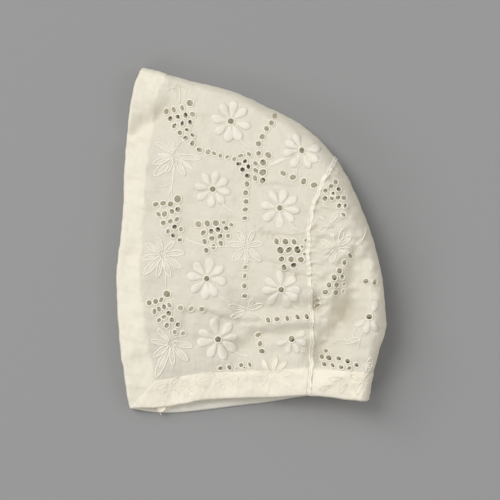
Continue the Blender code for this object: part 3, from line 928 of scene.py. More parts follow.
    def outer(self, plan: Array, far: Flags, on_fold: Flags) -> Array:
        """Outer cloth surface over points in plan, which small bumps move beside the fold.

        Args:
            plan: N points in plan.
            far: Which points are on the far layer.
            on_fold: Which points are on the fold line itself.

        Returns:
            N points in space.
        """
        distance, along = self.fold_distance(plan)
        distance = np.where(on_fold, 0.0, distance)
        top = self.rise(plan)
        beside_fold = np.exp(-((distance / self.edge_bump_reach) ** 2))[:, None]
        bumps = np.stack([ripples(plan, self.edge_bump_wave, seed) for seed in (31, 32)], axis=-1)
        bumpy = plan + self.edge_bumps * beside_fold * bumps
        heights = smooth(along, column(FOLD_HEIGHTS, "along"), column(FOLD_HEIGHTS, "height"))
        fold = np.minimum(self.rise_unit * heights, self.fold_most * top)
        above = top - fold
        near_share = rounded(distance, self.fold_roundness * above)
        far_share = rounded(distance, self.fold_roundness * fold)
        detail = self.puckers(plan) + self.wrinkles(plan) - self.creases(plan)
        near = fold + (above + detail) * near_share
        lifted = self.under_wrinkles * np.abs(self.wrinkles(plan))
        under = fold * (1 - far_share) + lifted * far_share
        return np.column_stack([bumpy, np.where(far, under, near)])

    def cloth_frame(self, plan: Array, side: Side) -> tuple[Array, Array]:
        """Points of the cloth's middle and its directions out, away from the fold.

        The direction is square to two short steps along the surface.

        Args:
            plan: N points in plan, in metres.
            side: The layer.

        Returns:
            The points and the directions.
        """
        far = np.full(len(plan), side is Side.FAR)
        none = np.zeros(len(plan), dtype=bool)
        here = self.outer(plan, far, none)
        right = self.outer(plan + [self.probe, 0], far, none) - here
        ahead = self.outer(plan + [0, self.probe], far, none) - here
        out = unit(np.cross(right, ahead)) * (-1.0 if side is Side.FAR else 1.0)
        return here - out * self.cloth_depth, out

    def raised(self, plan: Array, height: Values, side: Side) -> Array:
        """Points at a height over the cloth: outward on the near layer, inward on the far one.

        Args:
            plan: N points in plan, in metres.
            height: Metres over the cloth.
            side: The layer.

        Returns:
            The points in space.
        """
        shape = plan.shape[:-1]
        flat = plan.reshape(-1, 2)
        points, out = self.cloth_frame(flat, side)
        sign = -1.0 if side is Side.FAR else 1.0
        lifted = points + out * (sign * np.broadcast_to(height, shape).reshape(-1, 1))
        return lifted.reshape(*shape, 3)


def rounded(distance: Array, reach: Array) -> Array:
    """A quarter ellipse: 0 at the fold and 1 from its reach on."""
    return np.sqrt(1 - (1 - np.clip(distance / reach, 0, 1)) ** 2)


def grid_faces(rows: int, columns: int, closed: bool = False) -> Faces:
    """Quads between the points of a grid, whose columns close into a ring if closed.

    Args:
        rows: Points along the grid.
        columns: Points across it.
        closed: Whether its columns close into a ring.

    Returns:
        Quads, four point numbers each.
    """
    across = columns if closed else columns - 1
    row, col = np.meshgrid(np.arange(rows - 1), np.arange(across), indexing="ij")
    nxt = (col + 1) % columns
    low, high = row * columns, (row + 1) * columns
    return np.stack([low + col, low + nxt, high + nxt, high + col], axis=-1).reshape(-1, 4)


def grid_normals(grid: Array) -> Array:
    """Directions square to a grid of points, from its steps along columns and rows."""
    return unit(np.cross(np.gradient(grid, axis=1), np.gradient(grid, axis=0)))


def make_piece(name: str, points: Array, faces: Faces, uv: Array) -> bpy.types.Object:
    """Puts points, quads and a map for the weave into a new object.

    Args:
        name: The piece's name.
        points: N points in space.
        faces: Quads, four point numbers each.
        uv: Two numbers in metres for each point.

    Returns:
        The object, linked to the scene.
    """
    mesh = bpy.data.meshes.new(name)
    mesh.vertices.add(len(points))
    mesh.vertices.foreach_set("co", np.ascontiguousarray(points, dtype=np.float32).ravel())
    mesh.loops.add(faces.size)
    mesh.loops.foreach_set("vertex_index", faces.astype(np.int32).ravel())
    mesh.polygons.add(len(faces))
    mesh.polygons.foreach_set("loop_start", np.arange(0, faces.size, 4, dtype=np.int32))
    layer = mesh.uv_layers.new(name="cloth")
    layer.data.foreach_set("uv", np.ascontiguousarray(uv[faces.ravel()], dtype=np.float32).ravel())
    mesh.update(calc_edges=True)
    mesh.validate()
    mesh.shade_smooth()
    piece = bpy.data.objects.new(name, mesh)
    bpy.context.scene.collection.objects.link(piece)
    return piece


def copies(points: Array, faces: Faces) -> Faces:
    """Faces of K like grids whose points are stacked as K, n, 3."""
    count, size = points.shape[:2]
    return (faces[None] + (np.arange(count) * size)[:, None, None]).reshape(-1, 4)


def run_length(line: Array) -> Array:
    """Length along a line of points, from 0 at its start."""
    return np.concatenate([[0], np.cumsum(np.linalg.norm(np.diff(line, axis=0), axis=-1))])


def arc_map(grid: Array) -> Array:
    """A map in metres for a grid: its length along the middle row and the middle column."""
    rows, columns = grid.shape[:2]
    along, up = run_length(grid[rows // 2]), run_length(grid[:, columns // 2])
    return np.stack(np.broadcast_arrays(along[None, :], up[:, None]), axis=-1).reshape(-1, 2)


# Half the width of a padded shape's map, in metres
PAD_HALF_WIDTH = 0.0018


class Stop(NamedTuple):
    """A tone at a place of a ramp."""

    place: float
    tone: tuple[float, float, float]


class FinishNodes:
    """A new material and its nodes, with the ways that every finish adds and joins them."""

    def __init__(self, name: str) -> None:
        """Starts a material that has its shader and its output.

        Args:
            name: The material's name.
        """
        self.material = bpy.data.materials.new(name)
        self.material.use_nodes = True
        self.tree = self.material.node_tree
        self.shader = self.tree.nodes["Principled BSDF"]
        self.output = self.tree.nodes["Material Output"]

    def add(self, kind: str, inputs: dict[str | int, Values | tuple[float, ...]]) -> bpy.types.Node:
        """Adds a node and sets its inputs' constants.

        Args:
            kind: The node's type.
            inputs: The constants, by the input's name or number.

        Returns:
            The node.
        """
        node = self.tree.nodes.new(kind)
        for name, value in inputs.items():
            node.inputs[name].default_value = value
        return node

    def join(self, start: bpy.types.Node, out: str, end: bpy.types.Node, into: str | int) -> None:
        """Joins a node's output to another's input."""
        self.tree.links.new(start.outputs[out], end.inputs[into])

    def cloth_map(self) -> bpy.types.Node:
        """The piece's own map, in metres."""
        node = self.add("ShaderNodeUVMap", {})
        node.uv_map = "cloth"
        return node

    def noise(self, scale: float, detail: float) -> bpy.types.Node:
        """A noise of a scale, joined to the Object coordinates.

        Args:
            scale: The noise's scale.
            detail: How many octaves it has.

        Returns:
            The noise node.
        """
        place = self.add("ShaderNodeTexCoord", {})
        noise = self.add("ShaderNodeTexNoise", {"Scale": scale, "Detail": detail})
        self.join(place, "Object", noise, "Vector")
        return noise

    def threads(self, source: bpy.types.Node, direction: str, pitch: float, wander: float) -> bpy.types.Node:
        """Waves of a pitch in metres along one direction of a map.

        Args:
            source: The map's node.
            direction: X or Y.
            pitch: Metres between threads.
            wander: How much the waves are distorted.

        Returns:
            The wave node.
        """
        inputs = {"Scale": math.pi / (10 * pitch), "Distortion": wander, "Detail": 1.0}
        wave = self.add("ShaderNodeTexWave", inputs)
        wave.bands_direction = direction
        self.join(source, "UV", wave, "Vector")
        return wave

    def maths(self, operation: str, inputs: dict[str | int, float]) -> bpy.types.Node:
        """A sum or a choice of two values."""
        node = self.add("ShaderNodeMath", inputs)
        node.operation = operation
        return node

    def tones(self, source: bpy.types.Node, out: str, dark: Stop, light: Stop) -> bpy.types.Node:
        """A ramp from the dark tone to the light one.

        Args:
            source: The node that is read.
            out: Its output.
            dark: The dark end.
            light: The light end.

        Returns:
            The ramp.
        """
        ramp = self.add("ShaderNodeValToRGB", {})
        for element, stop in zip(ramp.color_ramp.elements, (dark, light)):
            element.position = stop.place
            element.color = (*stop.tone, 1.0)
        self.join(source, out, ramp, "Fac")
        return ramp

    def bump(self, source: bpy.types.Node, out: str, depth: float, strength: float) -> bpy.types.Node:
        """A bump of a depth in metres from a node's value.

        Args:
            source: The node that is read.
            out: Its output.
            depth: The depth in metres.
            strength: How strongly it shows.

        Returns:
            The bump node.
        """
        bump = self.add("ShaderNodeBump", {"Distance": depth, "Strength": strength})
        self.join(source, out, bump, "Height")
        return bump


@dataclass(frozen=True)
class ClothFinish:
    """A woven cotton: two tones, its weave, its sheen and the light that it lets through."""

    name: str
    light: tuple[float, float, float]
    dark: tuple[float, float, float]
    roughness: float = 0.86
    sheen: float = 0.25
    thread_pitch: float = 0.00031
    weave_depth: float = 0.00006
    slub_depth: float = 0.00010
    through: float = 0.30
    drift_scale: float = 34.0
    slub_tone: float = 0.55
    slub_stretches: tuple[tuple[float, float, float], ...] = ((90.0, 1500.0, 1.0), (1500.0, 70.0, 1.0))
    dark_place: float = 0.72
    light_place: float = 1.28 / 1.3

    def material(self) -> bpy.types.Material:
        """Builds the material.

        The colour drifts softly between the two tones. The bump is a plain weave, the greater of
        two crossed waves, under slubs: noise drawn out along the weft and the warp.
        """
        build = FinishNodes(self.name)
        drift = build.noise(self.drift_scale, 3.0)
        cloth_map = build.cloth_map()
        both = build.maths("ADD", {})
        for number, stretch in enumerate(self.slub_stretches):
            mapping = build.add("ShaderNodeMapping", {"Scale": stretch})
            build.join(cloth_map, "UV", mapping, "Vector")
            slub = build.add("ShaderNodeTexNoise", {"Scale": 1.0, "Detail": 2.0})
            build.join(mapping, "Vector", slub, "Vector")
            build.join(slub, "Fac", both, number)
        weave = build.maths("MAXIMUM", {})
        for number, direction in enumerate(("X", "Y")):
            build.join(build.threads(cloth_map, direction, self.thread_pitch, 0.6), "Fac", weave, number)

        tone = build.maths("MULTIPLY_ADD", {1: self.slub_tone})
        build.join(both, "Value", tone, 0)
        build.join(drift, "Fac", tone, 2)
        dark, light = Stop(self.dark_place, self.dark), Stop(self.light_place, self.light)
        ramp = build.tones(tone, "Value", dark, light)
        coarse = build.bump(both, "Value", self.slub_depth, 0.7)
        fine = build.bump(weave, "Value", self.weave_depth, 0.6)
        build.join(coarse, "Normal", fine, "Normal")

        shader = build.shader
        build.join(ramp, "Color", shader, "Base Color")
        build.join(fine, "Normal", shader, "Normal")
        shader.inputs["Roughness"].default_value = self.roughness
        shader.inputs["Sheen Weight"].default_value = self.sheen
        shader.inputs["Sheen Roughness"].default_value = 0.5
        shader.inputs["Specular IOR Level"].default_value = 0.25
        glow = build.add("ShaderNodeBsdfTranslucent", {})
        build.join(ramp, "Color", glow, "Color")
        build.join(fine, "Normal", glow, "Normal")
        mix = build.add("ShaderNodeMixShader", {"Fac": self.through})
        build.join(shader, "BSDF", mix, 1)
        build.join(glow, "BSDF", mix, 2)
        build.join(mix, "Shader", build.output, "Surface")
        return build.material


@dataclass(frozen=True)
class ThreadFinish:
    """Cotton embroidery thread: smooth, a little brighter than the cloth, with its strands, and painted
    shade at the sides of padded shapes where the border is under 1.
    """

    name: str
    light: tuple[float, float, float]
    dark: tuple[float, float, float]
    strand_pitch: float = 0.00042
    strand_depth: float = 0.00006
    roughness: float = 0.55
    # Under 1, the share of the tone left at the map's sides: painted shade along a padded shape's edges
    border: float = 1.0
    border_shade_from: float = 0.80
    half_width: float = PAD_HALF_WIDTH
    light_place: float = 0.55

    def material(self) -> bpy.types.Material:
        """Builds the material: strands are waves along the piece's map, darker between them.

        Where the border is under 1 the tone falls to that share of it towards the map's sides: painted shade
        along the edges of padded petals and leaves.
        """
        build = FinishNodes(self.name)
        thread_map = build.cloth_map()
        strands = build.threads(thread_map, "Y", self.strand_pitch, 1.2)
        ramp = build.tones(strands, "Fac", Stop(0.0, self.dark), Stop(self.light_place, self.light))
        # Painted shade: past a share of the half width the tone falls towards the map's sides
        parts = build.add("ShaderNodeSeparateXYZ", {})
        build.join(thread_map, "UV", parts, "Vector")
        beside = build.maths("ABSOLUTE", {})
        build.join(parts, "X", beside, 0)
        inner = self.half_width * self.border_shade_from
        rim = {"From Min": inner, "From Max": self.half_width, "To Min": 1.0, "To Max": self.border}
        edge = build.add("ShaderNodeMapRange", rim)
        build.join(beside, "Value", edge, "Value")
        shade = build.add("ShaderNodeVectorMath", {})
        shade.operation = "SCALE"
        build.join(ramp, "Color", shade, 0)
        build.join(edge, "Result", shade, "Scale")
        shader = build.shader
        build.join(shade, "Vector", shader, "Base Color")
        build.join(build.bump(strands, "Fac", self.strand_depth, 0.6), "Normal", shader, "Normal")
        shader.inputs["Roughness"].default_value = self.roughness
        shader.inputs["Sheen Weight"].default_value = 0.2
        shader.inputs["Specular IOR Level"].default_value = 0.35
        return build.material


Finish = ClothFinish | ThreadFinish

SHEER = ClothFinish("sheer_batiste", (0.922, 0.884, 0.783), (0.888, 0.845, 0.737), through=0.42)
# The far layer is the same batiste with its tones painted brighter: painted light for the light inside the
# cap, which the eyelets show
SHEER_FAR_BRIGHTENED = ClothFinish("far_batiste_painted_light", (0.975, 0.940, 0.815), (0.950, 0.908, 0.775), through=0.08)
HEM = ClothFinish("front_hem_cloth", (0.925, 0.882, 0.765), (0.897, 0.849, 0.726), through=0.28)
# The neck hems are the front hem's cloth painted brighter: painted light on hems that slope away from the
# key light
NECK_HEM_BRIGHTENED = ClothFinish("neck_hem_painted_light", (0.985, 0.935, 0.808), (0.960, 0.905, 0.772), through=0.28)
# The far neck hem, painted brighter than the front hem: painted light on the strip that the near layer
# shades
HEM_FAR_BRIGHTENED = ClothFinish("far_hem_painted_light", (0.990, 0.962, 0.880), (0.970, 0.937, 0.845), through=0.40)
SEAM = ClothFinish("felled_seam", (0.905, 0.862, 0.750), (0.865, 0.820, 0.708), through=0.12)
# Petals and satin leaves: a border of 0.80 paints shade along their edges
SATIN_EDGE_SHADED = ThreadFinish("satin_petals", (0.730, 0.692, 0.596), (0.695, 0.656, 0.558), border=0.80)
OVERCAST = ThreadFinish("overcast_eyelets", (0.820, 0.782, 0.668), (0.778, 0.738, 0.622), 0.00030)
OUTLINE = ThreadFinish("outline_stitch", (0.790, 0.756, 0.660), (0.753, 0.717, 0.618), 0.00060)


# How far an eyelet strays from its row, in metres, and a daisy eye's radius, in pixels
EYELET_STRAY = 0.00017
DAISY_EYE = 3.0


class Holes(NamedTuple):
    """Eyelets: their centres in plan, the two radii of each, and the turn of each in radians."""

    centres: Array
    radii: Array
    turns: Array


def eyelet_holes(form: CapForm, rows: tuple[EyeletRow, ...], seed: int) -> Holes:
    """Works out every eyelet of a chart, each a little out of place and out of round.

    Args:
        form: The cap's form.
        rows: The chart.
        seed: Fixes the unevenness.

    Returns:
        The eyelets.
    """
    rng = np.random.default_rng(seed)
    spots, sizes = [], []
    for row in rows:
        t = np.linspace(0, 1, row.count) if row.count > 1 else np.zeros(1)
        start = form.from_photo(row.from_px, row.from_py)
        end = form.from_photo(row.to_px, row.to_py)
        spots.append(start + (end - start) * t[:, None])
        sizes.append(np.full(row.count, row.size * form.pixel / 2))
    centres = np.concatenate(spots)
    size = np.concatenate(sizes)
    centres = centres + rng.normal(0, EYELET_STRAY, centres.shape)
    oval = rng.uniform(0.70, 1.02, len(size))
    radii = np.column_stack([size * rng.uniform(0.95, 1.12, len(size)), size * oval])
    return Holes(centres, radii, rng.uniform(0, np.pi, len(size)))


def with_daisies(form: CapForm, holes: Holes, growth: Values = 1.0) -> Holes:
    """Eyelets with those in the daisies' middles, whose radii are grown by a factor.

    Args:
        form: The cap's form.
        holes: The charted eyelets.
        growth: What the daisies' radii are multiplied by.

    Returns:
        All the eyelets.
    """
    middles = form.from_photo([daisy.px for daisy in DAISIES], [daisy.py for daisy in DAISIES])
    radii = np.full((len(DAISIES), 2), DAISY_EYE * form.pixel) * growth
    return Holes(
        np.concatenate([holes.centres, middles]),
        np.concatenate([holes.radii, radii]),
        np.concatenate([holes.turns, np.zeros(len(DAISIES))]),
    )


def hole_share(plan: Array, holes: Holes) -> tuple[Array, Array]:
    """Each point's nearest hole, and its distance from that hole's middle in hole radii.

    Args:
        plan: N points in plan, in metres.
        holes: The eyelets.

    Returns:
        The distance from the nearest hole's middle in hole radii, and that hole's number.
    """
    best = np.full(len(plan), np.inf)
    which = np.zeros(len(plan), dtype=int)
    for number, (centre, radius, turn) in enumerate(zip(*holes)):
        close = np.flatnonzero(np.abs(plan - centre).max(axis=1) < 2.2 * radius.max())
        offset = plan[close] - centre
        right = offset @ [math.cos(turn), math.sin(turn)]
        up = offset @ [-math.sin(turn), math.cos(turn)]
        share = np.hypot(right / radius[0], up / radius[1])
        nearer = share < best[close]
        best[close[nearer]] = share[nearer]
        which[close[nearer]] = number
    return best, which


@dataclass
class Panels:
    """The front panel and the back panel: thin cloth pierced by the eyelets."""

    form: CapForm
    under_hem: float = 0.0008
    front_columns: int = 170
    back_rows: int = 210
    far_shift: tuple[float, float] = (0.0014, -0.0020)
    snap: float = 0.24
    back_top: float = 0.992
    seam_tuck: float = 0.0003
    charted: Holes = field(init=False)
    holes: Holes = field(init=False)

    def __post_init__(self) -> None:
        """Works out the eyelets once for both panels."""
        self.charted = eyelet_holes(self.form, EYELET_ROWS, 11)
        self.holes = with_daisies(self.form, self.charted)

    def pierced(self, plan: Array, far: Flags) -> tuple[Array, Array]:
        """Draws the points near an eyelet's rim onto it.

        Args:
            plan: N points in plan.
            far: Which are on the far layer, whose eyelets are shifted.

        Returns:
            The new points, and each one's distance from its hole in hole radii.
        """
        moved = plan.copy()
        share = np.full(len(plan), np.inf)
        for side, shift in ((False, (0.0, 0.0)), (True, self.far_shift)):
            chosen = np.flatnonzero(far == side)
            spots = self.holes.centres + np.array(shift)
            found, which = hole_share(plan[chosen], self.holes._replace(centres=spots))
            rim = np.abs(found - 1) < self.snap
            ratio = np.where(rim, 1 / np.maximum(found, 1e-6), 1.0)[:, None]
            middle = spots[which]
            moved[chosen] = middle + (plan[chosen] - middle) * ratio
            share[chosen] = np.where(rim, 1.0, found)
        return moved, share

    def cloth(self, name: str, plan: Array, far: Flags, on_fold: Flags, rows: int) -> bpy.types.Object:
        """Builds one panel from its grid in plan, with its eyelets open.

        Args:
            name: The piece's name.
            plan: The grid's points in plan, row by row.
            far: Which points are on the far layer.
            on_fold: Which points are on the fold line.
            rows: How many rows the grid has.

        Returns:
            The panel's object.
        """
        moved, share = self.pierced(plan, far)
        points = self.form.outer(moved, far, on_fold)
        grid = points.reshape(rows, -1, 3)
        grid = grid - grid_normals(grid) * self.form.cloth_depth
        faces = grid_faces(rows, grid.shape[1])
        inside = (share[faces] <= 1.0).all(axis=1)
        kept = faces[~inside]
        used, numbers = np.unique(kept, return_inverse=True)
        flat = grid.reshape(-1, 3)
        piece = make_piece(name, flat[used], numbers.reshape(-1, 4), arc_map(grid)[used])
        # Far faces take the second slot: the far batiste, painted brighter as painted light
        under = far[kept].all(axis=1).astype(np.int32)
        piece.data.polygons.foreach_set("material_index", under)
        return piece

    def front(self) -> bpy.types.Object:
        """The front panel, from under the near neck hem over the crown to the far neck hem.

        Returns:
            The panel's object.
        """
        form = self.form
        path = over_fold(path_to_fold(250, 82, 0.20), path_to_fold(140, 44, 0.14))
        across, share = np.meshgrid(np.linspace(0, 1, self.front_columns + 1), path.share)
        across, share = across.ravel(), share.ravel()
        far = np.repeat(path.far, self.front_columns + 1)
        low = (form.neck_hem - self.under_hem) / form.height_at(across, far)
        up = low + (1 - low) * share
        length = form.width_at(up, far)
        left = (form.face_hem(up) - self.under_hem) / length
        right = 1.0 - (form.seam_width / 2 - self.seam_tuck) / length
        plan = form.front_plan(left + (right - left) * across, up, far)
        return self.cloth("front_panel_cloth", plan, far, share == 1.0, len(path.share))

    def back(self) -> bpy.types.Object:
        """The back panel, from the seam round the fold at the back to the seam again.

        Returns:
            The panel's object.
        """
        form = self.form
        path = over_fold(path_to_fold(30, 62, 0.60), path_to_fold(18, 36, 0.60))
        across, share = np.meshgrid(path.share, np.linspace(0, 1, self.back_rows + 1))
        across, share = across.ravel(), share.ravel()
        far = np.tile(path.far, self.back_rows + 1)
        low = (form.neck_hem - self.under_hem) / form.back_height(across)
        up = low + (self.back_top - low) * share
        plan = form.back_plan(across, up, far, form.seam_width / 2 - self.seam_tuck)
        return self.cloth("back_panel_cloth", plan, far, across == 1.0, self.back_rows + 1)


class Stitch(NamedTuple):
    """A line of stitches along a band: its share across, its depth and the stitches' length."""

    across: float
    depth: float
    length: float


class Waver(NamedTuple):
    """A small sideways wave of the seam: its depth, its turns and where it starts."""

    depth: float
    turns: float
    start: float


@dataclass
class Bands:
    """The doubled hems and the felled seam: closed flat bands with rounded edges."""

    form: CapForm
    thickness: float = 0.0012
    seam_thickness: float = 0.0016
    columns: int = 17
    hem_gap: float = 0.00015
    mitre_rise: float = 0.00022
    seam_rise: float = 0.00026
    seam_hollow: float = 0.00024
    seam_wavers: tuple[Waver, ...] = (Waver(0.00026, 61.0, 0.0), Waver(0.00016, 143.0, 1.0))
    seam_stitches: tuple[Stitch, ...] = (Stitch(0.14, 0.00008, 0.0021), Stitch(0.86, 0.00008, 0.0021))
    hem_stitch: Stitch = Stitch(0.10, 0.00016, 0.0019)
    groove_width: float = 0.00055
    lumps: Swell = Swell(0.00009, 0.0034, 21)
    hollow_share: float = 0.17

    def band(self, name: str, plan: Array, far: Flags, on_fold: Flags, rows: int, thick: float,
             rise: float, stitches: tuple[Stitch, ...], hollow: float = 0.0) -> bpy.types.Object:
        """Thickens a grid into a closed band.

        Across the band both faces follow a flat oval, whose half height is T/2 times the eighth
        root of 1 - |2s - 1|^8, round a middle surface half a thickness under the outer one. It
        also closes over the last steps at each end. A line of stitches is a groove, deeper
        between stitches.

        Args:
            name: The piece's name.
            plan: The grid's points in plan, row by row.
            far: Which are on the far layer.
            on_fold: Which are on the fold line.
            rows: How many rows the grid has along the band.
            thick: The band's thickness.
            rise: How far the outer face stands over the cloth's surface.
            stitches: The lines of stitches.
            hollow: Depth of the valley between two ridges along the band's edges.

        Returns:
            The band's object.
        """
        grid = self.form.outer(plan, far, on_fold).reshape(rows, -1, 3)
        out = grid_normals(grid)
        across = np.linspace(0, 1, grid.shape[1])
        along = run_length(grid[:, 0])
        oval = (1 - np.abs(2 * across - 1) ** 8) ** 0.125
        from_end = np.minimum(along, along[-1] - along)
        ends = rounded(from_end, np.full(rows, thick / 2))
        half = thick / 2 * oval[None] * ends[:, None]
        groove = np.zeros((rows, len(across)))
        for stitch in stitches:
            beat = 0.55 + 0.45 * np.cos(2 * np.pi * along / stitch.length)
            width = self.groove_width / np.linalg.norm(grid[rows // 4, -1] - grid[rows // 4, 0])
            bell = np.exp(-(((across - stitch.across) / width) ** 2))
            groove += stitch.depth * beat[:, None] * bell[None]
        near = ~far.reshape(rows, -1)
        depth, wave, seed = self.lumps
        lumps = depth * ripples(plan, wave, seed).reshape(rows, -1)
        groove += hollow * np.exp(-(((across - 0.5) / self.hollow_share) ** 2))[None]
        middle = grid - out * (thick / 2 - np.where(near, rise, 0.0) * ends[:, None])[..., None]
        top = middle + out * (half + np.where(near, lumps, 0.0) * oval - groove * oval)[..., None]
        under = middle - out * half[..., None]
        ring = np.concatenate([top, under[:, -2:0:-1]], axis=1)
        width = np.linalg.norm(np.diff(ring, axis=1, append=ring[:, :1]), axis=-1)
        around = np.cumsum(width[rows // 2]) - width[rows // 2, 0]
        uv = np.stack(np.broadcast_arrays(around[None, :], along[:, None]), axis=-1).reshape(-1, 2)
        return make_piece(name, ring.reshape(-1, 3), grid_faces(rows, ring.shape[1], closed=True), uv)

    def hem_line(self, inner: bool) -> Stitch:
        """The line that holds a hem, near the start of its grid's rows or near their end."""
        return self.hem_stitch if inner else self.hem_stitch._replace(across=1 - self.hem_stitch.across)

    def front_hem(self) -> bpy.types.Object:
        """The band round the face opening.

        Returns:
            The band's object.
        """
        form = self.form
        path = over_fold(path_to_fold(250, 60, 0.16), path_to_fold(120, 34, 0.12))
        across, up = np.meshgrid(np.linspace(0, 1, self.columns), path.share)
        across, up = across.ravel(), up.ravel()
        far = np.repeat(path.far, self.columns)
        width = (form.face_hem(up) - self.hem_gap) / form.width_at(up, far)
        plan = form.front_plan(width * across, up, far)
        lines = (self.hem_line(inner=False),)
        return self.band("front_hem_band", plan, far, up == 1.0, len(path.share), self.thickness, 0.0, lines)

    def crown_seam(self) -> bpy.types.Object:
        """The felled seam over the crown, with a row of stitches near each edge.

        Returns:
            The band's object.
        """
        form = self.form
        path = over_fold(path_to_fold(260, 70, 0.16), path_to_fold(110, 30, 0.16))
        offset = np.linspace(-form.seam_width / 2, form.seam_width / 2, self.columns)
        distance, up = np.meshgrid(offset, path.share)
        distance, up = distance.ravel(), up.ravel()
        far = np.repeat(path.far, self.columns)
        wave = sum(waver.depth * np.sin(up * waver.turns + waver.start) for waver in self.seam_wavers)
        plan = form.beside_seam(up, far, distance + np.where(up == 1.0, 0.0, wave))
        return self.band(
            "crown_seam_band", plan, far, up == 1.0, len(path.share), self.seam_thickness,
            self.seam_rise, self.seam_stitches, hollow=self.seam_hollow,
        )

    def side_neck_hem(self, name: str, side: Side) -> bpy.types.Object:
        """The neck hem under one side of the front panel.

        On the near side its face end is a mitre, from the front hem's inner edge at the top to the
        cap's lower corner, folded over the front hem.

        Args:
            name: The piece's name.
            side: The layer.

        Returns:
            The band's object.
        """
        form = self.form
        along = np.linspace(0, 1, 240)
        share, across = np.meshgrid(np.linspace(1, 0, self.columns), along)
        if side is Side.FAR:
            share = share[:, ::-1]
        share, across = share.ravel(), across.ravel()
        far = np.full(len(share), side is Side.FAR)
        up = (form.neck_hem - self.hem_gap) / form.height_at(across, far) * share
        length = form.width_at(up, far)
        hem = form.face_hem(up)
        left = np.where(far, hem + self.hem_gap, hem * share) / length
        right = 1.0 - (form.seam_width / 2 - self.hem_gap) / length
        plan = form.front_plan(left + (right - left) * across, up, far)
        lines = (self.hem_line(inner=side is Side.NEAR),)
        none = np.zeros(len(share), dtype=bool)
        return self.band(name, plan, far, none, len(along), self.thickness, self.mitre_rise, lines)

    def back_neck_hem(self) -> bpy.types.Object:
        """The neck hem under the back panel, round the fold at the back.

        Returns:
            The band's object.
        """
        form = self.form
        path = over_fold(path_to_fold(40, 70, 0.60), path_to_fold(24, 40, 0.60))
        share, across = np.meshgrid(np.linspace(1, 0, self.columns), path.share)
        share, across = share.ravel(), across.ravel()
        far = np.repeat(path.far, self.columns)
        up = (form.neck_hem - self.hem_gap) / form.back_height(across) * share
        plan = form.back_plan(across, up, far, form.seam_width / 2 - self.hem_gap)
        lines = (self.hem_line(inner=True),)
        return self.band(
            "neck_hem_back_band", plan, far, across == 1.0, len(path.share), self.thickness, 0.0, lines
        )


